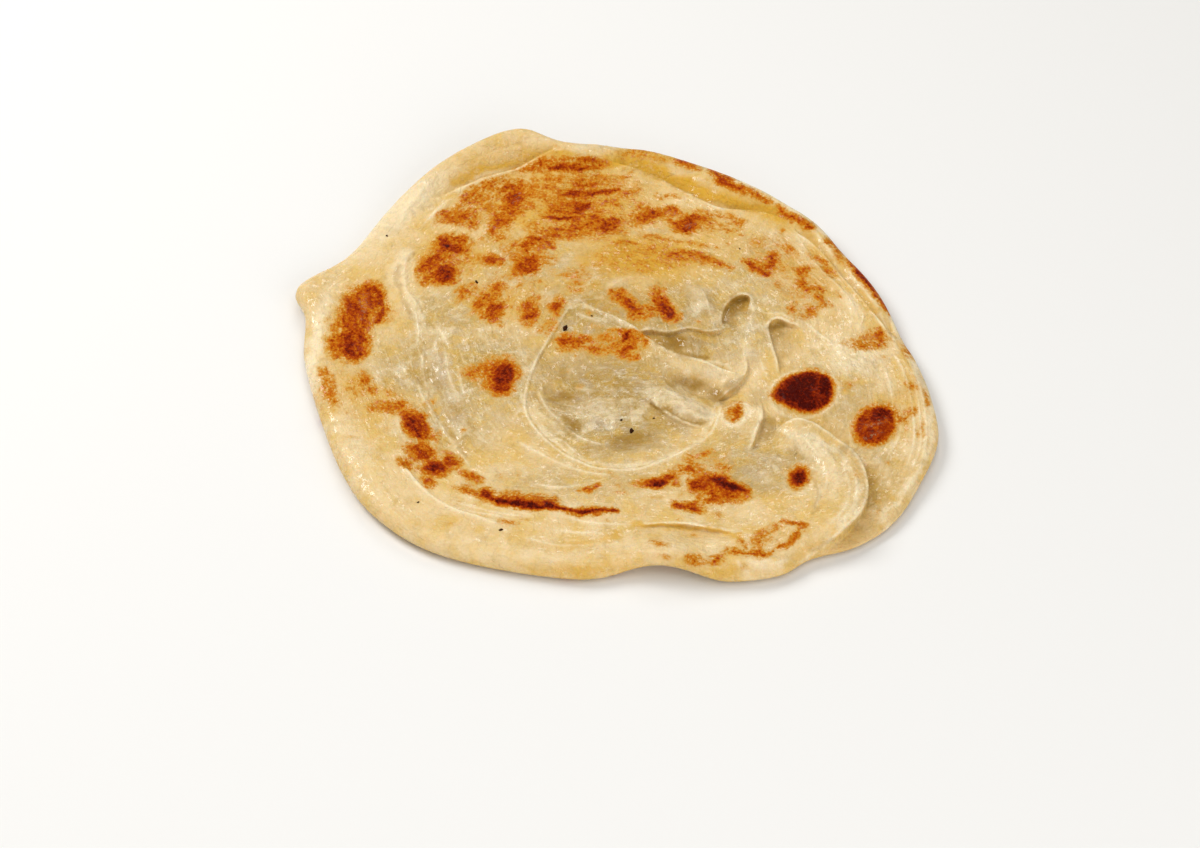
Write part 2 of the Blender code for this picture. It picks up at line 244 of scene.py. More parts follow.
# %% Fold values
Fold = namedtuple("Fold", "rise back fall front push fades path")
FOLDS = [
    Fold(1.8, 20, 1.0, 16, 0.6, (0.1, 8), [(46.5, -76), (56, -69), (62, -60), (62.8, -51), (60, -42),
                                           (54, -35), (46, -31), (39, -33.5)]),
    Fold(0.5, 7, 0.5, 7, 0.3, (4, 4), [(33.4, -41), (35.5, -34), (37.4, -28), (37, -22)]),
    Fold(0.16, 8, 0.06, 7, 0.12, (6, 6), [(27, -22), (22, -36), (4, -47), (-12, -43), (-23, -30),
                                          (-24.5, -19), (-20.8, -3), (-12, 17)]),
    Fold(1.1, 10, 0.9, 7, 0.35, (3, 6), [(33, -12.6), (24, -9), (15.8, -6), (8, 0.6), (2, 6), (-12, 17)]),
    Fold(0.55, 6, 0.6, 6, 0.25, (3, 4), [(25, -21.6), (30, -17.5), (33.6, -11), (34, -5)]),
    Fold(0.35, 8, 0.8, 7, 0.3, (3, 4), [(4, 4.6), (8, 5.6), (12, 4.4), (15, 4.8), (18.6, 6), (22, 5),
                                        (25, 4.4), (29, 6.4)]),
    Fold(0.35, 5, 1.2, 8, 0.35, (4, 6), [(28, 6.5), (27.6, 10), (28.6, 14.6), (31, 18.4), (34.2, 20),
                                         (36.2, 18), (35.6, 14), (34.2, 10)]),
    Fold(0.4, 6, 0.9, 9, 0.3, (8, 4), [(42.3, -13), (42.2, -8), (40.8, 0), (40.2, 7), (42.6, 9.4),
                                       (46.4, 7.6), (50, 5)]),
    Fold(0.35, 6, 1.5, 11, 0.3, (6, 24), [(-13, 75), (-20, 73.8), (-27, 71), (-39, 66), (-50, 59),
                                          (-55, 53)]),
    Fold(0.5, 6, 2.4, 8, 0.3, (7, 10), [(50, 47), (41, 51), (30, 54.5), (18, 62), (8, 69), (-4, 73)]),
    Fold(0.4, 5, 1.3, 5, 0.4, (6, 8), [(74, 2), (67.6, 14), (61, 26), (56, 36), (48, 46)]),
    Fold(0.5, 6, 0.6, 5, 0.4, (5, 8), [(3, -66.8), (9, -66.2), (16, -66.4), (22, -67.8), (31, -70)]),
    Fold(0.4, 8, 0.5, 6, 0.25, (8, 10), [(-30, -66), (-41, -62.5), (-51, -54), (-58, -43)]),
    Fold(0.3, 4, 0.3, 4, 0.25, (3, 3), [(7.4, -20.6), (10.6, -25), (14.4, -28.4), (18, -31), (22, -32.4)]),
]
print("folds:", len(FOLDS))

# %% [markdown]
# ## Ridges
#
# Where a layer wrinkles without ending, there is only a rounded ridge. One of them is a groove instead, with
# a height below zero: it parts the outer wrap from the middle at the left. The highest is the short white
# roll of dough beside the sunken middle.

# %% Ridge values
Ridge = namedtuple("Ridge", "height width fades path")
RIDGES = [
    Ridge(0.9, 2.6, 8, [(-70, 42), (-60, 52), (-55, 61), (-50, 68)]),
    Ridge(0.8, 2.2, 6, [(-56, 40), (-60, 31), (-58, 20), (-54, 11)]),
    Ridge(-0.7, 2.4, 8, [(-53, -2), (-51.5, -14), (-47, -30), (-38, -48)]),
    Ridge(0.8, 2.6, 8, [(-38, -54), (-27, -58.5), (-12, -62), (2, -62)]),
    Ridge(2.3, 2.5, 4, [(8, -18.6), (14, -22.2), (20, -26.4), (23.6, -29)]),
    Ridge(0.8, 2.4, 5, [(40, -37), (50, -39), (55, -50), (53, -62)]),
    Ridge(0.6, 2.2, 5, [(57, -35), (62, -42), (70, -43)]),
    Ridge(0.6, 2.0, 4, [(-5, 20), (3, 25.5), (12, 24)]),
    Ridge(0.6, 2.0, 4, [(20, 25), (24, 15), (27.5, 6)]),
    Ridge(0.5, 1.8, 6, [(47, 42), (56, 27), (64, 13), (65, 3)]),
]
print("ridges:", len(RIDGES))

# %% [markdown]
# ## Hollows and blisters
#
# Hollows are the places where the top layer sinks: under the flap, in the two pockets and in the middle.
# Blisters are where steam lifted it against the pan. A blister that burst or dried stands in a ring of raised
# dough; the last value says how strong that ring is.

# %% Hollow and blister values
Hollow = namedtuple("Hollow", "x y turn half_length half_width depth")
HOLLOWS = [
    Hollow(20, -16.5, -20, 11, 4.2, 1.7),
    Hollow(-2, -30, 0, 17, 12, 0.7),
    Hollow(-17, -20, -50, 6, 3, 0.8),
    Hollow(36, -51, 10, 9, 3, 0.8),
    Hollow(15.4, -0.4, -62, 6.5, 4.6, 1.2),
    Hollow(32.6, 15, 60, 5, 3, 0.8),
    Hollow(26, -20.6, -45, 5, 3, 0.7),
    Hollow(-12.4, -31, -44, 5, 2.4, 0.5),
    Hollow(3, -37, 5, 9, 4, 0.6),
    Hollow(44, 4, 80, 7, 3.4, 0.6),
]

Blister = namedtuple("Blister", "x y turn half_length half_width height ring")
BLISTERS = [
    Blister(48.8, -18.8, 35, 9.0, 7.8, 0.9, 0.75),
    Blister(67, -32, 66, 9.0, 5.8, 0.8, 0.55),
    Blister(-70.5, 8, 80, 16.0, 6.0, 0.6, 0.05),
    Blister(-31, -13, 80, 7.6, 5.6, 0.6, 0.30),
    Blister(26, -53.5, -20, 9.0, 5.0, 0.6, 0.20),
    Blister(45.8, -50.8, 80, 4.8, 3.4, 0.4, 0.40),
    Blister(30.6, -27.2, 65, 4.0, 3.0, 0.4, 0.95),
    Blister(-53.2, -31.6, -66, 7.2, 3.8, 0.4, 0.50),
    Blister(-51.4, -41.2, -42, 4.6, 3.4, 0.3, 0.45),
    Blister(-47.6, 27.4, 0, 4.6, 4.8, 0.4, 0.10),
]
print("hollows:", len(HOLLOWS), "blisters:", len(BLISTERS))

# %% [markdown]
# ## Creases too fine for the solid
#
# The coil's inner turns show as thin lines where one sheet of dough ends or wrinkles over another. Each is a
# narrow ridge with its own path. They are listed by the part of the bread that they lie on.

# %% Fine crease values
CREASES = [
    # right, along the rim
    Ridge(0.45, 0.50, 6, [(48.5, 45), (50.5, 40), (53, 35), (56, 28), (60, 22), (63, 16), (64, 9)]),
    Ridge(0.40, 0.50, 6, [(54, 46), (56, 42), (58.5, 37), (60, 32), (62, 27), (65, 22), (67.5, 17),
                          (70, 11)]),
    Ridge(0.30, 0.45, 5, [(45, 42), (48, 36), (51, 30), (55, 24), (58, 19)]),
    Ridge(0.30, 0.45, 4, [(60, 20), (62, 15), (63, 10), (62, 5)]),
    Ridge(0.35, 0.45, 4, [(66.5, 14), (66, 9), (63.5, 4)]),
    Ridge(0.50, 0.90, 8, [(20, 76.5), (29, 71), (39, 63), (47, 55.5), (54, 48)]),
    Ridge(0.50, 0.70, 8, [(58, 43), (63, 35.5), (68, 27), (72, 18.5), (74.5, 9), (76, 0)]),
    Ridge(0.35, 0.50, 6, [(62, 32), (66, 23.5), (70, 15), (73.5, 5), (75, -4)]),
    Ridge(0.25, 0.45, 5, [(49, 9), (53, 5), (57, 0), (59, -5)]),
    Ridge(0.22, 0.40, 4, [(52, 3), (53.5, -1), (53, -5)]),
    # left, inside the outer wrap
    Ridge(0.45, 0.50, 5, [(-55, 39), (-58, 34), (-59, 28), (-58, 21), (-55, 15), (-53, 9)]),
    Ridge(0.35, 0.45, 4, [(-59.5, 24), (-57.5, 18), (-55.5, 13), (-54, 4), (-54.5, -3)]),
    Ridge(0.35, 0.45, 5, [(-52, -1), (-52.5, -8), (-51, -16), (-50.3, -23), (-46, -32), (-41, -41),
                          (-38, -48)]),
    Ridge(0.35, 0.45, 5, [(-53.8, -11), (-52.5, -18), (-49.5, -25), (-46.5, -31), (-43, -38)]),
    Ridge(0.30, 0.45, 4, [(-46.5, -3), (-45.5, -11), (-44, -17), (-42, -22)]),
    Ridge(0.25, 0.40, 4, [(-48, 4), (-49.5, -1), (-48.5, -6)]),
    Ridge(0.25, 0.40, 5, [(-43, -7), (-42, -14), (-40.5, -22)]),
    Ridge(0.25, 0.40, 5, [(-50, 8), (-47, 2), (-45, -4)]),
    Ridge(0.35, 0.60, 6, [(-62, 46), (-59, 53), (-54, 61), (-49, 67)]),
    Ridge(0.30, 0.50, 6, [(-56, 45), (-52, 52), (-47, 59)]),
    Ridge(0.35, 0.70, 6, [(-74, 38), (-66, 50), (-58, 60), (-50, 68)]),
    # front left, layered lines
    Ridge(0.40, 0.50, 6, [(-57.6, -46), (-52, -51.8), (-48.4, -55.6), (-43, -61.5), (-36, -65), (-27, -68)]),
    Ridge(0.30, 0.45, 8, [(-46, -56), (-41.6, -59), (-36, -61), (-30, -63.4), (-22, -65)]),
    Ridge(0.25, 0.40, 6, [(-47, -58), (-42, -60.5), (-34, -63), (-26, -66)]),
    Ridge(0.28, 0.45, 6, [(-60, -41), (-56, -48), (-51, -54), (-46, -59)]),
    Ridge(0.25, 0.45, 6, [(-24, -52), (-16, -53.5), (-6, -51.5)]),
    Ridge(0.30, 0.45, 6, [(-16, -64), (-8, -66.2), (0, -66.4), (8, -65.6)]),
    Ridge(0.25, 0.45, 6, [(-20, -68), (-12, -69.5), (-3, -69.5)]),
    Ridge(0.22, 0.45, 6, [(-26, -71), (-17, -73.5), (-8, -73.6), (-1, -71)]),
    # around the sunken middle
    Ridge(0.45, 0.50, 6, [(-22, -16), (-19.7, -23.4), (-16.5, -28.5), (-12.7, -33), (-8, -36.5), (-1, -38)]),
    Ridge(0.30, 0.45, 5, [(-25, -23), (-26.5, -27), (-29, -30)]),
    Ridge(0.30, 0.45, 5, [(-21, -34), (-15, -36.5), (-12, -40), (-7, -45)]),
    Ridge(0.30, 0.50, 5, [(-28, -36), (-20, -42), (-11, -47), (0, -50)]),
    Ridge(0.50, 0.60, 3, [(-12.4, -7.4), (-13, -11.4), (-15, -15.4)]),
    Ridge(0.28, 0.45, 4, [(-34, -4), (-30, -3.2), (-26, -2.6)]),
    Ridge(0.30, 0.45, 4, [(-12, -17), (-6, -18.5), (1, -18)]),
    Ridge(0.25, 0.50, 4, [(-10, -23), (-5, -21), (0, -22), (5, -21)]),
    Ridge(0.25, 0.45, 3, [(3.2, -20), (3, -25), (3.6, -30)]),
    Ridge(0.30, 0.50, 4, [(24, -26), (26, -22.5), (29.5, -19.5)]),
    Ridge(0.30, 0.45, 3, [(18.5, -1), (19.5, -4.5), (18.8, -7.5)]),
    # around the flap and the pockets
    Ridge(0.55, 0.60, 5, [(-12, 16.4), (-5, 11.4), (2, 6.4), (8, 0.8), (12, -3.2), (16, -5.8), (22, -7.8),
                          (28, -9.6), (33, -12)]),
    Ridge(0.30, 0.50, 4, [(-13, 12.6), (-7, 8.8), (-2, 6.4)]),
    Ridge(0.40, 0.45, 4, [(21, 24), (23.6, 19), (24.3, 15), (24.8, 11), (27, 6.5)]),
    Ridge(0.35, 0.45, 4, [(-2.6, 20.6), (-0.4, 23.4), (3.3, 25.4), (9, 25.2)]),
    Ridge(0.25, 0.40, 4, [(-14, 21), (-9, 23), (-7, 26), (-3, 28)]),
    Ridge(0.40, 0.60, 4, [(36.8, 17), (36.4, 12), (34.4, 5), (33.4, -3)]),
    Ridge(0.28, 0.45, 4, [(36.5, 15), (40, 11.5), (44, 11), (49, 7)]),
    Ridge(0.25, 0.45, 3, [(37.5, -5), (38.5, -10), (40, -14)]),
    Ridge(0.22, 0.40, 4, [(20, 2), (21, -2), (20.6, -6)]),
    # the hooked lip and the lobe
    Ridge(0.40, 0.50, 4, [(35.8, -23), (36.4, -28), (35.4, -33), (33, -38)]),
    Ridge(0.40, 0.50, 3, [(30.6, -22.2), (33, -25.5), (32.6, -29), (30.6, -31.6)]),
    Ridge(0.60, 0.50, 5, [(42.6, -35.6), (47.4, -37.8), (49.7, -40.6), (51.6, -43.6), (53, -49),
                          (52.4, -57)]),
    Ridge(0.30, 0.70, 8, [(44, -34.6), (50.7, -39.6), (54.4, -44.4), (56.4, -51)]),
    Ridge(0.22, 0.60, 8, [(56.4, -46), (58.6, -53), (57, -62), (51, -70)]),
    Ridge(0.25, 0.45, 5, [(50, -50), (51, -56), (48.6, -64)]),
    Ridge(0.35, 0.50, 5, [(50, -36.4), (55.6, -41), (58.8, -47), (60.4, -54), (58.6, -62), (53, -70)]),
    Ridge(0.30, 0.45, 4, [(46, -46), (49.6, -46.6), (52.6, -50)]),
    Ridge(0.25, 0.40, 4, [(38, -39), (43, -38.5), (46.5, -41)]),
    Ridge(0.55, 0.70, 3, [(28.6, -78), (30.4, -81), (34, -82)]),
    Ridge(0.35, 0.50, 3, [(33, -79.4), (38, -79.4), (43, -77)]),
    # the lower layer
    Ridge(0.35, 0.50, 6, [(72, 0), (75.5, -10), (77, -22), (76.5, -36), (73, -48)]),
    Ridge(0.35, 0.50, 6, [(78, -8), (80, -20), (80, -33), (77.4, -45), (71, -57)]),
    Ridge(0.25, 0.40, 5, [(75, -4), (78, -14), (78.8, -26), (78, -38), (74.6, -48)]),
    Ridge(0.25, 0.45, 5, [(70, -6), (71.5, -14), (72, -22)]),
    Ridge(0.22, 0.40, 5, [(57, -8), (60, -12), (64, -14)]),
    Ridge(0.28, 0.45, 4, [(56.6, -36), (60, -41), (64, -43.6), (70, -43)]),
    Ridge(0.40, 0.55, 3, [(62.6, -60), (66, -60.6), (69.4, -61.6)]),
    Ridge(0.35, 0.50, 3, [(69, -62), (67.6, -65), (65.6, -67)]),
]
print("creases:", len(CREASES))

# %% [markdown]
# ## Noise for what has no name
#
# Between the named folds the surface is never smooth: fat boils in the dough and leaves small bumps, and the
# rolled layers leave faint lines round the coil. Both come from value noise: random heights on a lattice,
# blended smoothly between its points. The random table is made once from a fixed seed, so the bread is the
# same every time. Each use reads the table from another place, its layer, so that no two patterns line up.

# %% Noise helpers
DOUGH_SEED = 11
TABLE_SIZE = 256
LAYER_COLUMNS = 37
LAYER_ROWS = 91
noise_table = np.random.default_rng(DOUGH_SEED).random((TABLE_SIZE, TABLE_SIZE))


def soft_noise(across, along, layer=0):
    """Random values from 0 to 1 that change smoothly, one lattice cell for each unit."""
    column = np.floor(across).astype(int)
    row = np.floor(along).astype(int)
    right = ease(across - column)
    up = ease(along - row)
    column += LAYER_COLUMNS * layer
    row += LAYER_ROWS * layer
    corners = [noise_table[(column + i) % TABLE_SIZE, (row + j) % TABLE_SIZE] for j in (0, 1) for i in (0, 1)]
    near_side = corners[0] * (1 - right) + corners[1] * right
    far_side = corners[2] * (1 - right) + corners[3] * right
    return near_side * (1 - up) + far_side * up


def bumpy(points, cell, layer=0, octaves=3):
    """Several sizes of noise added up, from -1 to 1."""
    total = np.zeros(len(points))
    weight = 0.0
    for octave in range(octaves):
        share = 0.5 ** octave
        size = cell * share
        total += share * (2 * soft_noise(points[:, 0] / size, points[:, 1] / size, layer + octave) - 1)
        weight += share
    return total / weight


print("noise table:", noise_table.shape, "mean", round(float(noise_table.mean()), 3))

# %% [markdown]
# ## The rim, directions and ovals
#
# Every form adds its own share to the thickness of the dough. These helpers say where a form counts: how far
# inside the outline a point lies, which way it lies from the middle, how far along a fold, and how far from
# the middle of an oval. The rim itself is a quarter of a circle on both faces, joined at the widest line.


# %% Where a form counts
def quarter_round(share):
    """The height of a rounded edge, from 0 at its widest line to 1 where it has levelled out."""
    share = np.clip(share, 0.0, 1.0)
    return np.sqrt(1.0 - (1.0 - share) ** 2)


def direction_window(points, direction, spread):
    """1 towards the given direction from the middle, falling to 0 at the spread."""
    turn = np.degrees(np.arctan2(points[:, 1], points[:, 0])) - direction
    turn = np.abs((turn + 180.0) % 360.0 - 180.0)
    return 1.0 - ease(turn / spread)


UNEVENNESS = 0.22
UNEVEN_LENGTH = 23.0


def fading(along, total, fades):
    """How strongly a fold shows at each place along it."""
    start, end = fades
    uneven = 1.0 + UNEVENNESS * np.sin(2 * math.pi * along / UNEVEN_LENGTH + total)
    return uneven * ease(along / start) * ease((total - along) / end)


Oval = namedtuple("Oval", "x y turn half_length half_width")


def oval_reach(spot, points):
    """0 at the middle of an oval, 1 at its rim."""
    turn = math.radians(spot.turn)
    x = points[:, 0] - spot.x
    y = points[:, 1] - spot.y
    along = (x * math.cos(turn) + y * math.sin(turn)) / spot.half_length
    across = (y * math.cos(turn) - x * math.sin(turn)) / spot.half_width
    return np.sqrt(along ** 2 + across ** 2)


# %% [markdown]
# ## The edge of the bread
#
# The drawn outline becomes an even row of points, which serves as a ruler: how far a point lies inside it
# decides how thick and how rounded the dough is there.

# %% Outline and edge
GUIDE_STEP = 1.5
outline = smooth_curve(OUTLINE, GUIDE_STEP, closed=True)
outline_ring = np.vstack([outline, outline[:1]])
plan_middle = 0.5 * (outline.min(axis=0) + outline.max(axis=0))
print("middle of the plan, mm:", plan_middle.round(2))


def inset_of(points):
    """How far each point lies inside the outline; negative outside it."""
    return beside(outline_ring, points)[0]


def edge_thickness(points):
    """How thick the rim is, thinner where a lower layer sticks out."""
    thin = direction_window(points, LOWER_LAYER_DIRECTION, LOWER_LAYER_SPREAD)
    return EDGE_THICKNESS + (LOWER_LAYER_THICKNESS - EDGE_THICKNESS) * thin


def lift_of(points, inset):
    """How far each point is lifted off the floor."""
    total = np.zeros(len(points))
    for lift in LIFTS:
        rise = ease(1.0 - inset / lift.reach)
        total += lift.height * rise * direction_window(points, lift.direction, lift.spread)
    return total


# %% [markdown]
# ## Lips, crests and shade
#
# While a fold's height is worked out, three more things about each point are noted: how much of a crest it
# is, how deep it lies beside a lip, and which way its lip is pushed. The crest is where the finish paints a
# highlight, a pale line along the lip, and the depth is where it paints shade, deeper gold beside the lip.

# %% Relief of one fold
LIP = 0.8
BEAD_HEIGHT = 0.12
BEAD_WIDTH = 0.4
PUSH_BACK = 3.0
UNDERCUT_SHARE = 0.5
DEPTH_SHARE = 0.6
DEEP_FALL = 1.5


def fold_relief(fold, points):
    """Height, crest, depth and sideways push of one fold; crest and depth mask the painted highlight and
    shade.
    """
    distance, along, total, left = beside(smooth_curve(fold.path, GUIDE_STEP), points)
    shown = fading(along, total, fold.fades)
    upper = fold.rise * (1.0 - ease(distance / fold.back))
    lower = -fold.fall * (1.0 - ease((-distance - LIP) / fold.front))
    share = ease((distance + LIP) / LIP)
    bead = np.exp(-((distance - BEAD_WIDTH) / BEAD_WIDTH) ** 2)
    height = (lower + (upper - lower) * share + BEAD_HEIGHT * bead) * shown
    depth = np.where(distance < 0, 1.0 - ease((-distance - LIP) / (DEPTH_SHARE * fold.front)), 0.0) * shown
    over = np.where(distance > 0, 1.0 - ease(distance / PUSH_BACK), 0.0)
    under = np.where(distance < -LIP, 1.0 - ease((-distance - LIP) / PUSH_BACK), 0.0)
    face = np.clip((distance + LIP) / LIP, 0.0, 1.0)
    on_face = (distance <= 0) & (distance >= -LIP)
    push = np.where(on_face, UNDERCUT_SHARE * (1 - face) - face, UNDERCUT_SHARE * under - over)
    push = left * (fold.push * shown * push)[:, None]
    # crest masks the painted highlight along the lip, depth the painted shade beside it
    return height, bead * shown, depth * min(1.0, fold.fall / DEEP_FALL), push


# %% [markdown]
# ## Ridges and rings
#
# A ridge has the section of a bell, highest on its path. A blister is a low dome, and the ring round it is
# the same bell, bent round an oval and set a little outside its rim.

# %% Relief of one ridge and of one blister
RING_WIDTH = 0.6
RING_OUTSIDE = 0.8


def ridge_relief(ridge, points):
    """How much of a ridge's height each point has."""
    distance, along, total, _ = beside(smooth_curve(ridge.path, GUIDE_STEP), points)
    shown = fading(along, total, (ridge.fades, ridge.fades))
    return np.exp(-(distance / ridge.width) ** 2) * shown


def blister_relief(blister, points):
    """A blister's dome, and the ring of dough that rose round it."""
    reach = oval_reach(blister, points)
    size = math.sqrt(blister.half_length * blister.half_width)
    return 1.0 - ease(reach), np.exp(-((reach - 1.0) * size / RING_WIDTH - RING_OUTSIDE) ** 2)


# %% [markdown]
# ## Lines that the rolled layers leave
#
# Rolling a coil flat presses its turns together, and their edges stay as faint lines that run round the
# bread. Noise that is stretched along the coil gives them: it changes quickly across the turns and slowly
# along them. They come and go in patches, and are left out where the angle round the coil starts again.

# %% Layer lines
COIL_DRIFT = 3.0
COIL_WANDER = 2.2
COIL_WANDER_CELL = 26.0
COIL_RADIUS = 60.0
LINE_GAP = 2.1
LINE_LENGTH = 17.0
LINE_PATCH_CELL = 17.0
LINE_PATCH_CONTRAST = 1.1
SEAM_DIRECTION = 180
SEAM_SPREAD = 16


def across_coil(points, inset):
    """Distance across the rolled layers: it grows inwards and wanders from side to side round the coil."""
    turn = np.arctan2(points[:, 1], points[:, 0])
    return inset + COIL_DRIFT * np.sin(turn) + COIL_WANDER * bumpy(points, COIL_WANDER_CELL, layer=5)


def layer_lines(points, inset):
    """Faint sharp-topped lines that wind round the coil, in patches."""
    turn = np.arctan2(points[:, 1], points[:, 0])
    along = (turn / (2 * math.pi) + 1.0) * 2 * math.pi * COIL_RADIUS / LINE_LENGTH
    waves = soft_noise(across_coil(points, inset) / LINE_GAP, along, layer=7)
    patches = ease(0.5 + LINE_PATCH_CONTRAST * bumpy(points, LINE_PATCH_CELL, layer=71, octaves=2))
    patches *= 1.0 - direction_window(points, SEAM_DIRECTION, SEAM_SPREAD)
    return (1.0 - np.abs(2 * waves - 1) * 2) * patches


# %% [markdown]
# ## From rolled dough to folds
#
# The upper face starts as rolled dough and then takes up one kind of form after another. Adding is simple and
# forgiving, since a fold that crosses another just rides over it. Folds are the slow part, so each is
# measured only on the points near it. Until the edge is rounded, height holds the thickness of the dough.

# %% Rolled dough, folds and ridges
# crest and depth also carry the finish's painted highlight and painted shade
Face = namedtuple("Face", "height crest depth push inset")
FOLD_REACH = 22.0
RIDGE_REACH = 4
THIN_CREASE = 1.0
CREASE_SHARE = 0.65
CREASE_HIGHLIGHT = 0.85
RIDGE_HIGHLIGHT = 0.6


def rolled_thickness(points, inset):
    """The thickness that rolling left: thin at the lower layer, with long waves and swellings."""
    thin = direction_window(points, LOWER_LAYER_DIRECTION, LOWER_LAYER_SPREAD)
    thin *= ease(1.0 - inset / LOWER_LAYER_REACH)
    thickness = DOUGH_THICKNESS + (LOWER_LAYER_THICKNESS - DOUGH_THICKNESS) * thin
    for wave in WAVES:
        turn = math.radians(wave.direction)
        travel = points[:, 0] * math.cos(turn) + points[:, 1] * math.sin(turn)
        thickness += wave.height * np.sin(2 * math.pi * travel / wave.length + math.radians(wave.phase))
    for swell in SWELLS:
        across = np.exp(-((inset - swell.inset) / swell.width) ** 2)
        thickness += swell.height * across * direction_window(points, swell.direction, swell.spread)
    return thickness


def lay_folds(points, face):
    """Adds every fold's height, crest, depth and push."""
    for fold in FOLDS:
        close = near(np.array(fold.path, float), points, FOLD_REACH)
        height, crest, depth, push = fold_relief(fold, points[close])
        face.height[close] += height
        face.crest[close] = np.maximum(face.crest[close], crest)
        face.depth[close] = np.maximum(face.depth[close], depth)
        face.push[close] += push


def raise_ridges(points, face):
    """Adds the ridges and creases; the tops of raised ones count as crests, with a painted highlight."""
    for ridge in RIDGES + CREASES:
        close = near(np.array(ridge.path, float), points, 3 * ridge.width + RIDGE_REACH)
        shape = ridge_relief(ridge, points[close])
        thin = ridge.width < THIN_CREASE
        face.height[close] += ridge.height * shape * (CREASE_SHARE if thin else 1.0)
        if ridge.height > 0:
            # painted highlight along the top of a raised ridge
            pale = (CREASE_HIGHLIGHT if thin else RIDGE_HIGHLIGHT) * shape
            face.crest[close] = np.maximum(face.crest[close], pale)


# %% [markdown]
# ## Sinking, blistering and roughening
#
# Hollows and blisters are ovals. Noise comes last: layer lines, wide bumps that are stronger where the middle
# sags, fine bumps, and crinkles that only cut in. The outer wrap at the front left was stretched tight, so
# all of the noise is weaker there.

# %% Hollows, blisters and rough skin
RING_HEIGHT = 0.24
BLISTER_GRAIN = 0.20
BLISTER_GRAIN_CELL = 2.6
WRAP_DIRECTION = 222
WRAP_SPREAD = 62
WRAP_REACH = 20
WRAP_SMOOTHNESS = 0.75
LINE_HEIGHT = 0.16
LINES_START = 6.0
BUMP_HEIGHT = 0.26
BUMP_CELL = 7.0
SAG = 0.8
SAG_START = 14.0
SAG_BLEND = 16.0
FINE_BUMP_HEIGHT = 0.10
FINE_BUMP_CELL = 2.2
CRINKLE_HEIGHT = 0.30
CRINKLE_CELL = 11.0
FINE_CRINKLE_CELL = 4.5


def sink_and_blister(points, face):
    """Takes the hollows away and adds the blisters with their rings and rough tops."""
    for hollow in HOLLOWS:
        face.height[:] -= hollow.depth * (1.0 - ease(oval_reach(hollow, points)))
    grain = BLISTER_GRAIN * bumpy(points, BLISTER_GRAIN_CELL, layer=15)
    for blister in BLISTERS:
        dome, ring = blister_relief(blister, points)
        face.height[:] += blister.height * dome + RING_HEIGHT * blister.ring * ring
        face.height[:] += grain * np.sqrt(dome)
        # the raised ring also gets the painted highlight of a crest
        face.crest[:] = np.maximum(face.crest, blister.ring * ring)


def roughen(points, face):
    """Adds layer lines, bumps and crinkles, weaker on the smooth outer wrap."""
    wrap = direction_window(points, WRAP_DIRECTION, WRAP_SPREAD) * ease(1.0 - face.inset / WRAP_REACH)
    rough = 1.0 - WRAP_SMOOTHNESS * wrap
    face.height[:] += LINE_HEIGHT * layer_lines(points, face.inset) * rough * ease(face.inset / LINES_START)
    sagging = BUMP_HEIGHT * (1.0 + SAG * ease((face.inset - SAG_START) / SAG_BLEND))
    face.height[:] += sagging * bumpy(points, BUMP_CELL, layer=1) * rough
    face.height[:] += FINE_BUMP_HEIGHT * bumpy(points, FINE_BUMP_CELL, layer=3) * rough
    crinkle = np.maximum(0.0, bumpy(points, CRINKLE_CELL, layer=9))
    crinkle = crinkle * np.abs(bumpy(points, FINE_CRINKLE_CELL, layer=12))
    face.height[:] -= CRINKLE_HEIGHT * crinkle * rough


# %% [markdown]
# ## Both faces
#
# The upper face is rounded off by blending towards the bread's widest line. The lower face is flat where the
# pan pressed it, and dents only where the dough didn't touch the metal.

# %% Both faces
DENT_DEPTH = 0.7
DENT_CELL = 16.0
DENT_START = 0.15
FINE_DENT_CELL = 5.0
FINE_DENT_START = 0.3
DENTS_INSET = 12.0


def upper_face(points):
    """Height, crest, depth, push and inset of every point of the upper face."""
    inset = np.maximum(inset_of(points), 0.0)
    count = len(points)
    thickness = rolled_thickness(points, inset)
    face = Face(thickness, np.zeros(count), np.zeros(count), np.zeros((count, 2)), inset)
    lay_folds(points, face)
    raise_ridges(points, face)
    sink_and_blister(points, face)
    roughen(points, face)
    thickness = np.maximum(face.height, THINNEST)
    equator = EQUATOR * edge_thickness(points)
    levelled = quarter_round(inset / TOP_ROUNDING)
    height = lift_of(points, inset) + equator + (thickness - equator) * levelled
    return face._replace(height=height, push=face.push * levelled[:, None])


def under_face(points):
    """Height of the lower face."""
    inset = np.maximum(inset_of(points), 0.0)
    equator = EQUATOR * edge_thickness(points)
    height = lift_of(points, inset) + equator * (1.0 - quarter_round(inset / UNDER_ROUNDING))
    wide_dents = np.maximum(0.0, bumpy(points, DENT_CELL, layer=21) - DENT_START)
    fine_dents = np.maximum(0.0, bumpy(points, FINE_DENT_CELL, layer=24) - FINE_DENT_START)
    return height + DENT_DEPTH * (wide_dents + fine_dents) * ease(inset / DENTS_INSET)


# %% [markdown]
# ## Laying out the points
#
# A round grid would be crowded in the middle and coarse at the rim. Instead the points stand in an even
# triangular field, with extra rows along every fold and crease, so that no lip is cut by a stray edge, and
# rings inside the edge for its rounding.

# %% Rows, rings and fields of points
EDGE_STEP = 0.75
ROW_STEP = 0.6
FULL_TOP_STEP = 0.62
TOP_STEP = FULL_TOP_STEP
TOP_INSETS = (0.12, 0.4, 0.85, 1.4, 2.0, 2.7)
UNDER_INSETS = (0.12, 0.4, 0.9, 1.6, 2.6, 3.8)
LIP_ROWS = (0.9, 0.45, 0.15, 0.0, -0.2, -0.4, -0.6, -0.8, -1.1)
RING_SHARE = 0.8
FIELD_HALF_WIDTH = 96


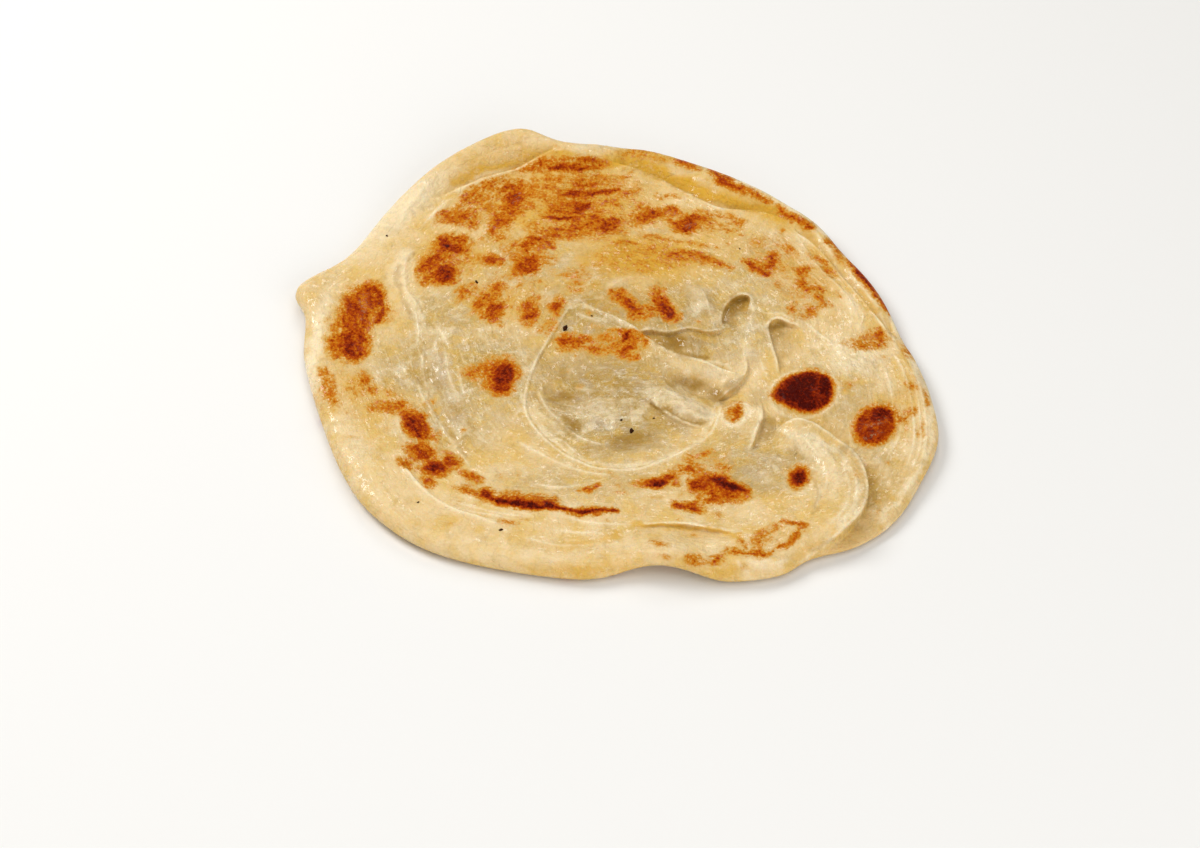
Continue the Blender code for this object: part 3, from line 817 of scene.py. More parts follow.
def triangle_field(step):
    """An even field of points, each with six neighbours."""
    row_gap = step * math.sqrt(3.0) / 2.0
    rows = int(FIELD_HALF_WIDTH / row_gap)
    points = []
    for row in range(-rows, rows + 1):
        shift = 0.5 * step * (row % 2)
        columns = np.arange(-FIELD_HALF_WIDTH, FIELD_HALF_WIDTH, step) + shift
        points.append(np.stack([columns, np.full(len(columns), row * row_gap)], axis=1))
    return np.vstack(points)


def fold_rows():
    """Rows along every lip, and along the top and both feet of every crease."""
    rows = []
    for fold in FOLDS:
        curve = smooth_curve(fold.path, ROW_STEP)
        aside = sideways(curve)
        rows += [curve + aside * gap for gap in LIP_ROWS]
    for crease in CREASES:
        curve = smooth_curve(crease.path, ROW_STEP)
        aside = sideways(curve)
        rows += [curve + aside * gap for gap in (0.0, crease.width, -crease.width)]
    return np.vstack(rows)


def rings_inside(edge, insets):
    """Rings that follow the edge, without the stretches that come too near it in a notch."""
    inward = sideways(edge, closed=True)
    rings = []
    for inset in insets:
        ring = edge + inward * inset
        rings.append(ring[inset_of(ring) > RING_SHARE * inset])
    return np.vstack(rings)


# %% [markdown]
# ## Keeping the points apart
#
# Rows cross each other and the field, and points that nearly touch would give thin, crumpled triangles. So
# rows are thinned first, and the field keeps clear of them.

# %% Thin the points out
UNDER_STEP = 1.5
ROW_CLEARANCE = 0.14
EDGE_CLEARANCE = 0.08
TOP_CLEARANCE = 0.34
UNDER_CLEARANCE = 0.7


def thinned(points, gap):
    """Takes points in order and skips any that lies too near one already taken."""
    taken = []
    cells = {}
    for x, y in points:
        column, row = int(x // gap), int(y // gap)
        around = [p for i in (-1, 0, 1) for j in (-1, 0, 1) for p in cells.get((column + i, row + j), ())]
        if all((x - p[0]) ** 2 + (y - p[1]) ** 2 > gap * gap for p in around):
            taken.append((x, y))
            cells.setdefault((column, row), []).append((x, y))
    return np.array(taken)


def clear_of(points, others, gap):
    """The points that lie at least gap from all the others."""
    tree = KDTree(len(others))
    for index, (x, y) in enumerate(others):
        tree.insert((x, y, 0.0), index)
    tree.balance()
    distances = np.array([tree.find((x, y, 0.0))[2] for x, y in points])
    return points[distances > gap]


def spread(edge, rows, field, clearance):
    """Rows first, then the part of the field that keeps clear of them and of the edge."""
    rows = thinned(rows, ROW_CLEARANCE)
    rows = rows[inset_of(rows) > EDGE_CLEARANCE]
    field = field[inset_of(field) > clearance]
    field = clear_of(field, np.vstack([rows, edge]), clearance)
    return np.vstack([rows, field])


edge = smooth_curve(OUTLINE, EDGE_STEP, closed=True)
upper_rows = np.vstack([rings_inside(edge, TOP_INSETS), fold_rows()])
upper_points = spread(edge, upper_rows, triangle_field(TOP_STEP), TOP_CLEARANCE * TOP_STEP / FULL_TOP_STEP)
under_points = spread(edge, rings_inside(edge, UNDER_INSETS), triangle_field(UNDER_STEP), UNDER_CLEARANCE)
print("points: edge", len(edge), "upper", len(upper_points), "under", len(under_points))

# %% [markdown]
# ## Joining and lifting
#
# A Delaunay triangulation joins the points on the flat plan, kept inside the outline, and the points are
# lifted afterwards. Both faces share the points of the edge, so the result is one closed skin. Lips are
# pushed sideways after their heights are known, which turns a steep step into a real overhang.

# %% Build the bread's mesh
INSIDE_ONLY = 1
SAME_POINT = 1e-6


def flat_faces(edge, inner):
    """A flat triangulation inside the edge, as indices into edge followed by inner."""
    points = [Vector(p) for p in np.vstack([edge, inner])]
    boundary = list(range(len(edge)))
    _, _, faces, sources, _, _ = delaunay_2d_cdt(points, [], [boundary], INSIDE_ONLY, SAME_POINT)
    return np.array([[sources[corner][0] for corner in face] for face in faces])


def new_piece(name, corners, faces):
    """A smooth-shaded object from corners in millimetres."""
    mesh = bpy.data.meshes.new(name)
    mesh.from_pydata((np.array(corners) * MM).tolist(), [], faces)
    mesh.update()
    mesh.shade_smooth()
    piece = bpy.data.objects.new(name, mesh)
    bpy.context.collection.objects.link(piece)
    return piece


def build_bread():
    """The bread, with the plan and the face that its upper side was made from."""
    plan = np.vstack([edge, upper_points])
    face = upper_face(plan)
    upper = np.column_stack([plan + face.push, face.height])
    lower = np.column_stack([under_points, under_face(under_points)])
    corners = np.vstack([upper, lower])
    corners[:, :2] -= plan_middle

    upper_faces = flat_faces(edge, upper_points)
    lower_faces = flat_faces(edge, under_points)
    lower_faces = np.where(lower_faces < len(edge), lower_faces, lower_faces + len(upper_points))[:, ::-1]
    faces = np.vstack([upper_faces, lower_faces])
    return new_piece("paratha_bread", corners, faces.tolist()), plan, face


bread, upper_plan, face = build_bread()
print("bread:", len(bread.data.polygons), "triangles, top at", round(float(face.height.max()), 2), "mm")

# %% [markdown]
# ## Where the pan browned it
#
# The dough browns where it touches the pan: on blisters, on ridges, round the rim. Each mark has a tone from
# 0 to 1, where 0.3 is gold, 0.5 orange, 0.7 red-brown and 1 almost black. Round marks are ovals, with their
# turn in degrees. Small dark marks lie on wide golden ones, as a real spot is darkest where it touched the
# metal.

# %% Browned spots
Spot = namedtuple("Spot", "x y length width turn tone")
SPOT_LIST = {
    "left rim": [
        (-69.4, 16, 14.6, 9.4, 76, .53), (-71, 9, 13, 9.2, 84, .50), (-71.8, -0.4, 13.6, 9.6, 84, .55),
        (-76.6, 3.6, 15, 3.6, 80, .26), (-74.6, 14, 12, 4.4, 72, .28), (-71.8, 8, 33, 14, 83, .22),
        (-61.8, 10, 6, 2.4, 80, .2), (-76.6, -18, 15, 3.8, -72, .33), (-77.4, -13.6, 6, 3.0, -80, .34),
        (-77, -20, 22, 10, -76, .12), (-67.4, -14.6, 6, 3.2, -60, .38), (-69, -17.6, 9, 6, -50, .21),
        (-65.4, -18, 3, 1.6, -60, .42), (-61, -24.6, 9.4, 4, 4, .38), (-60.6, -19.6, 5, 3.4, 0, .27),
        (-57.6, -25.6, 4, 4.4, 60, .38), (-68, -20, 15, 9, -30, .13), (-63, -31, 12, 6, 0, .08),
    ],
    "front left": [
        (-53, -31.5, 13.5, 6.6, -66, .56), (-53.4, -31.6, 9, 4.2, -66, .68),
        (-48.3, -36.5, 4, 2.4, 60, .34), (-51.6, -41, 8, 6.2, -42, .54), (-53.4, -40, 5, 4, -30, .48),
        (-51, -42.6, 5, 3.6, -42, .58), (-47.6, -47, 7, 6, 0, .64), (-47.4, -47, 4.6, 4, 0, .74),
        (-44, -44.4, 6.4, 3.8, -40, .6), (-55, -46, 3.6, 2.2, -45, .44), (-38.4, -50, 4.6, 2.2, -35, .5),
        (-39.2, -54.8, 4.6, 1.7, -20, .44),
    ],
    "front streak": [
        (-34.4, -56.4, 4, 3.2, -20, .78), (-26, -58.6, 15, 4.6, -8, .56), (-28.4, -56.8, 5, 3, 0, .42),
        (-8, -62.4, 9, 2.6, 0, .60), (-28, -66.3, 3.4, 1.4, -10, .3), (0, -55.6, 4, 1.6, 0, .2),
        (-5, -49, 4, 3, 0, .16), (-5, -57.6, 5, 2, 0, .14), (-43, -67.2, 5, 2.4, 10, .13),
        (-25, -64.8, 5, 1.2, -6, .16),
    ],
    "upper left pair": [
        (-47.6, 33.6, 17, 15, 90, .25), (-46, 39.4, 10.5, 8.4, 20, .54), (-47.8, 27.4, 8, 8.4, 0, .6),
        (-47.8, 27, 5.4, 5.6, 0, .7), (-52.8, 25.8, 4.4, 3.2, 80, .46), (-51.8, 31.4, 9.4, 5.2, 55, .56),
        (-49, 34, 7, 5, 0, .46), (-35.6, 33, 6.4, 4.4, -15, .44), (-35, 32.6, 3.6, 2.6, -15, .5),
        (-34, 43, 8, 6, 0, .27), (-35, 45.2, 1.6, 1.2, 0, .6), (-24.4, 35, 13, 14, 70, .27),
        (-22.6, 39.6, 9.4, 6, 0, .46), (-25.4, 31, 8.6, 7.4, 80, .52), (-25, 30.6, 5, 4, 80, .6),
        (-29.6, 38.6, 4.6, 4, 0, .3), (-28.6, 27, 4, 2.6, 30, .34), (-42.3, 19.6, 6.6, 3.8, 60, .40),
        (-35.2, 15.4, 13, 9, 80, .28), (-34, 12.8, 8.4, 5, 80, .54), (-34.4, 9.6, 4, 3, 0, .44),
        (-37.4, 16, 7, 3, 75, .48), (-33, 20.6, 5, 3.4, 60, .48), (-24, 12.6, 10, 4.6, 78, .46),
        (-23.6, 10.4, 5, 3, 78, .64), (-16.8, 14, 8, 5, 78, .22), (-16.7, 13.6, 5.8, 2.8, 78, .6),
        (-19, 6, 5, 4, 70, .33), (-22.6, 17.6, 5, 4, 0, .26), (-13, 27, 10, 4, -12, .24),
        (-11.4, 23, 4.4, 3.6, 70, .34), (-22, 23, 8, 4, 0, .18), (-29, 21, 6, 4, 0, .16),
    ],
    "upper left cloud": [
        (-31, 59, 20, 17, 60, .28), (-29.4, 58.6, 13, 6.4, 76, .5), (-29, 58.6, 7.6, 3.4, 72, .62),
        (-32.4, 50.4, 9, 5.6, 75, .44), (-39, 59, 10, 5.4, 45, .32), (-45, 51.5, 10, 6, 15, .42),
        (-43.4, 51, 4.6, 3.6, 80, .56), (-48, 51.6, 4, 3, 0, .44), (-41, 48, 4, 3.4, 0, .38),
        (-24, 62.4, 6.4, 6, 60, .30), (-24.6, 57, 5, 8, 0, .22), (-35, 53, 7, 7, 0, .3),
        (-23.6, 47.6, 5, 4, 0, .3),
    ],
    "back band": [
        (-13, 73.8, 20, 5.6, 2, .35), (-12.6, 72.4, 13, 3.4, 4, .50), (-21.6, 73.4, 4.6, 2.2, 85, .48),
        (-25.4, 72, 7, 3.2, 20, .35), (-18, 67.4, 10, 4, 0, .26), (-8.6, 65, 6, 1.8, 4, .48),
        (-12, 60.6, 9, 4, 3, .62), (-5.6, 61, 10, 3, 10, .42), (3.4, 61.8, 4.6, 3, 0, .38),
        (-15, 54.4, 13, 7.4, 12, .42), (-10, 55, 6.4, 4.6, 30, .66), (-1, 56, 3.6, 2.6, 0, .34),
        (-17, 58, 8, 4, 0, .28), (-9, 50, 12, 6, 10, .40), (-2, 48, 8, 6, 60, .58),
        (-12, 46, 22, 7, 14, .37), (-23.6, 46.6, 5, 4, 0, .28), (-18, 43.6, 8, 4, 0, .36),
        (-6, 44.6, 8, 3.4, 10, .28), (-12, 66, 10, 4, 0, .18), (1.8, 67.4, 4, 2, 20, .25),
        (14.6, 59.7, 4.6, 1.8, 14, .32),
    ],
    "back right": [
        (6.6, 51.6, 6.6, 5, 80, .48), (10.6, 52.4, 6, 4.4, 8, .54), (14.6, 53, 5.6, 5, 0, .33),
        (6, 56.6, 3.6, 4, 0, .27), (20.6, 48.8, 10, 6.4, 44, .56), (17.6, 46, 5, 3, -40, .50),
        (25, 47, 6, 4, 0, .33), (30.4, 49, 7.6, 7.6, 0, .17), (32.6, 47.6, 2.6, 2.4, 50, .3),
        (28.4, 52, 4, 1.6, 0, .28), (29, 46, 4.6, 1.8, 0, .26),
    ],
    "golden film": [
        (-18, 58, 54, 28, 6, .17), (-10, 62, 26, 16, 0, .27), (-8, 48, 28, 14, 0, .25),
        (-46, 36, 24, 24, 60, .12), (-30, 20, 28, 18, 60, .15), (14, 51, 40, 12, -16, .15),
        (44, 34, 24, 14, -50, .17), (50, 24, 18, 16, 0, .17), (30, 42, 20, 12, -20, .10),
        (4, 15, 22, 12, 0, .13), (-4, -1, 28, 9, 0, .15), (24, -54, 22, 12, -20, .08),
        (-70, -20, 26, 14, -60, .12), (68, -28, 16, 22, 0, .10), (-31, -12, 16, 14, 0, .14),
        (76, -26, 10, 30, 0, .12), (46, -50, 12, 9, 0, .13), (60, -52, 10, 24, 10, .10),
    ],
    "golden haze": [
        (2, 34, 20, 15, -6, .17), (-4, 33, 9, 9, 0, .18), (11, 35, 25, 10, -12, .19),
        (18, 34.6, 14, 4.6, -14, .29), (9, 38, 16, 7, -6, .20), (25, 32.6, 10, 3.4, -28, .26),
        (4.6, 29.4, 8, 2, 6, .2), (14.4, 31.4, 4, 2, 0, .32), (-10, 30, 5, 3.4, 0, .20),
        (-4, 27, 5, 6, 0, .15),
    ],
    "right": [
        (40, 31, 10, 9, 0, .2), (42.6, 33.4, 4.6, 3.4, 80, .44), (47.2, 37.8, 4.6, 2.4, -62, .36),
        (50.6, 28.4, 4, 2.4, 55, .46), (47.7, 12.6, 4.8, 3.2, 80, .36), (51.8, 12.2, 4.4, 3.4, 80, .36),
        (51.4, 25, 10, 8, 0, .16), (54, 17.6, 8, 8, 0, .14), (43.6, 41.6, 5, 4, 0, .16),
        (39, 39.6, 5, 4, 0, .15), (45, 16, 5, 5, 0, .13), (58, 9, 4, 6, 0, .13), (53, 36, 4, 5, 0, .2),
    ],
    "rim": [
        (19.6, 74, 5.6, 2.8, -30, .5), (13.6, 76.4, 4, 3, 0, .27), (6, 77.6, 12, 5, -4, .24),
        (9, 78.6, 7, 3, 0, .26), (31, 66, 12, 4.4, -50, .40), (53.3, 46.8, 2.4, 1.8, 0, .74),
        (61.4, 33.8, 4.6, 2.6, -60, .36), (66.4, 27, 5, 2, -62, .42),
    ],
    "right edge": [
        (67.6, 0.6, 10.6, 5.6, 10, .30), (70.4, 2, 4.6, 6, 0, .43), (64.6, -1.2, 6, 2.6, -10, .32),
        (78, -3.8, 4, 2.2, -60, .36), (77.7, -17, 4.4, 2.6, 85, .36), (61.4, -15.8, 5, 4, 0, .14),
        (60.6, -16.5, 2.4, 1.6, 0, .26), (60.4, -50.4, 3.6, 3.4, 0, .22), (66.5, -58.6, 3.4, 1.6, 0, .16),
        (79.6, -27.6, 3, 5, 0, .16), (76, -32, 6, 8, 0, .12),
    ],
    "blisters": [
        (50.5, -18.8, 15.8, 12.4, 78, .84), (45.6, -20.1, 10.6, 7.6, 6, .83), (47.2, -17.2, 11.4, 9, 34, .85),
        (48, -22.2, 11.4, 8.6, -28, .82), (48.6, -15.8, 9, 5, 30, .97), (54.4, -17, 9, 3.4, 84, .95),
        (44.4, -20.2, 6, 3.4, 10, .93), (49, -24, 6, 3, -20, .90),
        (67, -31.4, 15.6, 10.6, 66, .66), (68.2, -27.8, 6.6, 5.4, 60, .80), (65, -34.8, 6, 4.4, 60, .74),
        (29.8, -26.6, 5.8, 4.0, 70, .36), (30.8, -26.2, 4.4, 1.6, 74, .52),
        (45.8, -50.4, 7.4, 4.8, 80, .72), (46, -50.6, 5, 3.4, 80, .90),
        (-31.2, -12.6, 13, 8.4, 84, .50), (-30.6, -12.6, 9.6, 6, 80, .80), (-31, -17.4, 6, 6, 0, .62),
        (-37, -11.6, 8.4, 6, 10, .36), (-35, -16.4, 5, 4, 0, .30), (-34, -7.4, 5, 4, 0, .26),
    ],
    "front": [
        (8.8, -52.4, 9, 2.8, 0, .66), (12.8, -50.8, 3.4, 3, 50, .7), (25.2, -53.8, 14, 8, -24, .52),
        (27.6, -53, 10, 4, -28, .76), (19.4, -52.6, 6.4, 3.8, 80, .60), (23.4, -58.2, 5.6, 3.4, 0, .48),
        (17.7, -60.2, 4.4, 2.2, 0, .64), (18, -47, 6, 3.4, 8, .5), (18, -47.2, 3.4, 1.8, 8, .62),
        (18.5, -43.4, 3, 2.4, 0, .3), (22.3, -42.3, 3.4, 2.6, 0, .40), (26.8, -46.4, 4.4, 4.2, 0, .32),
        (23.6, -63.6, 3.4, 2, 0, .2), (9.4, -57.4, 4, 1.4, 0, .16), (18.6, -79.2, 3, 2.4, 0, .42),
        (24, -78.8, 2.6, 2, 40, .40), (26.6, -75.6, 2, 1.4, 0, .3),
    ],
    "ring mark": [
        (35.6, -71.6, 4.6, 3, 62, .46), (38.8, -68.2, 2.4, 2, 0, .36), (34.4, -77, 2.4, 2, 0, .44),
        (38, -71.6, 16, 8, 34, .12), (30.4, -73.4, 2, 1.4, 0, .3), (46, -68.4, 2, 1.6, 0, .3),
    ],
    "middle": [
        (-13, -0.2, 7.6, 6.2, 0, .42), (-13.6, 0, 5, 4, 0, .50), (-9.2, 0.8, 2.6, 2.2, 0, .46),
        (1.6, 0, 9, 9, 0, .32), (1.8, 2, 5, 3.4, 50, .72), (2.1, -2.4, 4, 3, 60, .6),
        (2.6, -5, 3.4, 2.6, 0, .46), (-3, 0.6, 3.4, 3, 0, .4), (-6, 6, 4, 2, -20, .2),
        (0.2, 18.4, 5.4, 3.8, -58, .50), (2.8, 15, 7.8, 3.4, -58, .62), (5.6, 11.6, 5.4, 4, 0, .44),
        (8.4, 12.4, 4, 3, 0, .44), (12.2, 14, 11.6, 6, -66, .54), (13.2, 12.6, 7.6, 4.4, -62, .66),
        (8.6, 12.6, 4.4, 3, 0, .38), (11, 20, 5, 3, 80, .42),
    ],
}
BLISTER_SPOTS = [Spot(*values) for values in SPOT_LIST.pop("blisters")]
SPOTS = [Spot(*values) for region in SPOT_LIST.values() for values in region]
print("browned spots:", len(SPOTS) + len(BLISTER_SPOTS))

# %% [markdown]
# ## Long marks
#
# Long marks are strokes along a curve, like the folds. A stroke has a tone, half a width and a path. The
# rim's long streaks, the dark dash at the front and the thin ring left by a flat bubble are strokes.

# %% Browned strokes
Stroke = namedtuple("Stroke", "tone half_width path")
STROKES = [
    # left rim
    Stroke(.68, 1.2, [(-70.5, 22.6), (-67, 21), (-65, 17), (-64.4, 12), (-65, 7.6)]),
    Stroke(.62, 1.5, [(-74, 17.6), (-72.8, 12), (-71, 7), (-69.6, 2)]),
    Stroke(.50, 0.9, [(-71.4, 15), (-69.6, 11), (-68.4, 7)]),
    Stroke(.74, 2.0, [(-73, 3), (-71.8, -1), (-71.4, -5)]),
    Stroke(.66, 0.9, [(-69.4, 2), (-69, -2.4), (-70, -6)]),
    Stroke(.52, 0.7, [(-77, 1), (-76.4, -3), (-74, -7)]),
    Stroke(.40, 0.9, [(-58, -22.6), (-57, -25), (-57.4, -28)]),
    # front left
    Stroke(.84, 0.9, [(-54.8, -28.6), (-53.8, -32.4), (-52.2, -36)]),
    Stroke(.46, 0.8, [(-50.4, -51.4), (-47.4, -53.6)]),
    # front streak
    Stroke(.97, 0.8, [(-35, -56.4), (-31, -58.4), (-27, -59.2), (-20.4, -60.1), (-13.6, -61.3),
                      (-9.2, -62.5), (-4.4, -61.9), (-1, -61.9)]),
    Stroke(.96, 1.7, [(-32, -58.2), (-27, -59.2), (-20, -60.1), (-15, -61)]),
    Stroke(.48, 1.0, [(-30, -57), (-23, -57.8), (-16, -59.6)]),
    Stroke(.94, 0.9, [(-11, -62.3), (-8.4, -62.8), (-6, -62.3)]),
    Stroke(.48, 0.4, [(-10.8, -54.9), (-7.6, -54.7), (-5.2, -53.2)]),
    # upper left pair
    Stroke(.72, 1.1, [(-50, 41.8), (-47.2, 39.2), (-45.6, 36.8)]),
    Stroke(.66, 1.1, [(-54, 28.8), (-52, 32.6), (-49.8, 35)]),
    Stroke(.64, 0.8, [(-23.6, 42.2), (-19.8, 40.6), (-18.2, 37.4)]),
    Stroke(.66, 0.9, [(-26.2, 39.6), (-25, 35.6)]),
    # upper left cloud
    Stroke(.42, 1.4, [(-44, 57), (-41, 61.5), (-38, 64.6), (-35.6, 66)]),
    Stroke(.56, 0.8, [(-33, 62.4), (-30, 65)]),
    # back band
    Stroke(.68, 1.2, [(-19, 71.4), (-13, 71.6), (-7, 72.8)]),
    Stroke(.42, 0.7, [(-17, 75.4), (-10, 76), (-5, 75)]),
    Stroke(.58, 0.9, [(-15, 61), (-11, 60.2)]),
    Stroke(.72, 0.8, [(-9, 60.2), (-4, 61.6), (1, 63)]),
    Stroke(.76, 0.8, [(-20.4, 51.2), (-16, 50.6), (-12, 51.2)]),
    Stroke(.68, 0.9, [(-12, 53), (-9.6, 55.4), (-7.6, 57)]),
    Stroke(.58, 0.8, [(-8, 51.6), (-4, 49.6), (0, 46.4)]),
    Stroke(.5, 0.7, [(-16, 45.4), (-10, 47), (-6, 50)]),
    # back right
    Stroke(.56, 0.9, [(14.6, 49.6), (17, 47), (19.4, 44.8)]),
    Stroke(.62, 1.0, [(18.6, 48.4), (21, 51.4), (22.4, 53)]),
    Stroke(.54, 0.7, [(5.4, 53.6), (8, 51), (12, 51.6)]),
    Stroke(.46, 0.5, [(13, 54.6), (15.6, 55), (16.8, 52.8)]),
    Stroke(.32, 0.4, [(27.4, 51.4), (30.4, 52.4), (33.4, 50), (34, 47), (31, 45.4), (28.4, 46.6)]),
    # golden haze
    Stroke(.40, 0.6, [(-1.4, 40), (2.5, 40.4), (5.6, 39.4)]),
    Stroke(.27, 0.8, [(5, 43), (9, 43.4), (12, 42)]),
    Stroke(.30, 0.7, [(8, 42.4), (13, 41.6), (18, 40.6), (25, 38.4)]),
    Stroke(.45, 0.9, [(13, 34.4), (17, 36), (22, 35), (27, 32), (31, 30)]),
    Stroke(.38, 1.0, [(17, 33.6), (22, 32.6)]),
    Stroke(.30, 0.6, [(5.6, 37.6), (9, 36), (11.6, 34)]),
    Stroke(.26, 0.5, [(-5, 36.6), (-3, 32)]),
    Stroke(.30, 0.5, [(3, 33), (6, 31), (8.4, 28.6)]),
    Stroke(.24, 0.8, [(-1, 30), (4, 28.6), (10, 28.4)]),
    # right
    Stroke(.64, 1.1, [(35.4, 32.6), (38, 30), (41.6, 26.4)]),
    Stroke(.56, 1.1, [(43, 35.6), (42.6, 32), (40.6, 30)]),
    Stroke(.46, 0.7, [(50.3, 25.6), (50, 21.8), (53, 20.8), (56.6, 21.2)]),
    Stroke(.42, 0.9, [(54, 18.2), (55, 15.8), (56.8, 14.2)]),
    Stroke(.40, 0.9, [(54.4, 34), (57, 30.4), (58.6, 27)]),
    Stroke(.28, 0.5, [(59, 20.4), (60.6, 17.4)]),
    # rim
    Stroke(.58, 1.0, [(26.6, 71), (29.4, 67.6), (31.8, 63.8), (34.6, 62.8)]),
    Stroke(.52, 0.8, [(28.6, 66), (31, 69), (32.6, 66.4)]),
    Stroke(.42, 0.7, [(34.6, 63.6), (39, 60.4), (42.6, 57.4)]),
    Stroke(.48, 1.0, [(45.4, 54.6), (47, 52), (50.6, 49), (54, 46.6)]),
    Stroke(.46, 1.0, [(58.2, 41.8), (61, 38.4), (63.8, 35.4)]),
    Stroke(.70, 1.8, [(62.2, 36), (64.8, 32.2), (67.2, 27.6), (69.4, 22.6), (70.6, 19.4)]),
    Stroke(.78, 0.7, [(64.6, 31.4), (66.8, 27.2), (68.6, 23)]),
    Stroke(.72, 0.7, [(70, 19.4), (71.6, 15.6), (73.4, 11)]),
    Stroke(.80, 0.5, [(69.6, 26), (71.4, 21.4), (71.8, 18.4)]),
    # right edge
    Stroke(.42, 0.7, [(77.5, -25.6), (75.6, -28.8), (74, -30.4)]),
    Stroke(.36, 0.5, [(79.8, -31), (78.5, -35.4)]),
    Stroke(.28, 0.5, [(80.8, -19), (80.8, -24)]),
    Stroke(.50, 0.4, [(31.6, -24), (31.2, -28), (29.8, -30)]),
    # blisters
    Stroke(.86, 0.8, [(70.8, -26), (71.4, -30)]),
    Stroke(.82, 0.5, [(64, -34), (67, -31), (69, -28)]),
    Stroke(.80, 0.4, [(-31.4, -14), (-32, -17), (-31, -19.6)]),
    Stroke(.76, 0.4, [(-30.6, -14.6), (-28.4, -16.4)]),
    # front
    Stroke(.94, 0.8, [(8.4, -52.8), (12.4, -52.8)]),
    Stroke(.92, 1.2, [(23, -50.8), (27, -52.6), (32, -55.4)]),
    Stroke(.66, 0.6, [(14, -60), (16.4, -61), (20.8, -61.6)]),
    Stroke(.26, 0.5, [(8, -73), (11.2, -74)]),
    Stroke(.26, 0.6, [(10, -77), (13, -78.2)]),
    # ring mark
    Stroke(.54, 0.40, [(27.4, -75.6), (30, -76.8), (33, -77.4), (36, -77.4), (38.6, -76.2)]),
    Stroke(.46, 0.36, [(39.4, -75.4), (42, -73.6)]),
    Stroke(.54, 0.40, [(42.6, -73), (44, -71), (44.8, -69)]),
    Stroke(.48, 0.36, [(41, -65.8), (44, -66.8), (46.4, -67)]),
    Stroke(.40, 0.36, [(29.6, -71.6), (30.6, -75)]),
    # middle
    Stroke(.42, 0.9, [(-10.4, -1.4), (-7, -3), (-2.6, -3.2)]),
    Stroke(.50, 0.6, [(5.2, 4.2), (7.2, 1.4), (7.4, -1.4)]),
    Stroke(.44, 0.6, [(-2, 4.6), (2, 4), (5, 4)]),
    Stroke(.40, 0.5, [(-2, -1), (1, -4.6), (5, -5.6)]),
]
print("browned strokes:", len(STROKES))

# %% [markdown]
# ## Turning marks into a map
#
# The finish needs a number for each point: how browned it is. A real mark is never a clean oval, so the plan
# is bent by noise before it is measured, along axes that are turned so that the bends don't line up with the
# plan. The marks were placed as seen by the camera, so each point is measured where it appears on the middle
# level.

# %% Bend the plan
BEND_TURN = np.array([(0.82, 0.57), (-0.57, 0.82)])
BEND_CELL = 4.4
BEND = 1.1
FINE_BEND_CELL = 1.5
FINE_BEND = 0.5


def as_seen(plan, height):
    """Where a camera looking down at 45 degrees sees each point on the level that marks are placed on."""
    return plan + np.stack([np.zeros(len(plan)), height - SURFACE_HEIGHT], axis=1)


def wander(points, amount, layer):
    """One coordinate of the bend."""
    wide = BEND * bumpy(points, BEND_CELL, layer=layer)
    fine = FINE_BEND * bumpy(points, FINE_BEND_CELL, layer=layer + 4, octaves=2)
    return amount * (wide + fine)


def bent(points, amount):
    """The plan bent by noise, so that ovals drawn on it come out ragged."""
    turned = points @ BEND_TURN
    return points + np.stack([wander(turned, amount, 31), wander(turned, amount, 41)], axis=1)


# %% [markdown]
# ## One mark, and all of them
#
# A mark is its own tone with a soft rim and a golden halo. Dark marks end more sharply than golden ones,
# because they were pressed on the metal. Marks are joined by a high power mean, which takes the darkest mark
# where several overlap but has no hard corner between them.

# %% Browning map
JOIN_POWER = 6.0
SOFT_INSIDE = 1.5
SOFT_OUTSIDE = 1.1
HALO_TONE = 0.31
HALO_WIDTH = 2.6
HALO_NARROWEST = 1.1
HALO_WIDENING = 1.3
HALO_PALE = 1.45
HALO_DARK_LOSS = 0.75
HALO_SHARE = 0.65
PALE_SOFTNESS = 1.25
DARK_SHARPENING = 0.6
INSIDE_SHARE = 0.9
OUTSIDE_NARROWEST = 0.4
OUTSIDE_WIDENING = 0.8
SPOT_MARGIN = 4.0
STROKE_MARGIN = 3.0
STROKE_TIP = 0.45


def soft_mark(tone, beyond, half_width):
    """1 inside a mark and 0 outside, from the distance beyond its rim in millimetres."""
    softness = PALE_SOFTNESS - DARK_SHARPENING * tone
    inside = min(SOFT_INSIDE * softness, INSIDE_SHARE * half_width)
    outside = min(SOFT_OUTSIDE * softness, OUTSIDE_NARROWEST + OUTSIDE_WIDENING * half_width)
    return 1.0 - ease((beyond + inside) / (inside + outside))


def mark(tone, beyond, half_width):
    """One mark's share of the browning: its own tone, and a golden halo round it."""
    reach = min(HALO_WIDTH, HALO_NARROWEST + HALO_WIDENING * half_width) * (HALO_PALE - HALO_DARK_LOSS * tone)
    halo = min(HALO_TONE, HALO_SHARE * tone) * (1.0 - ease(beyond / reach))
    return np.maximum(tone * soft_mark(tone, beyond, half_width), halo) ** JOIN_POWER


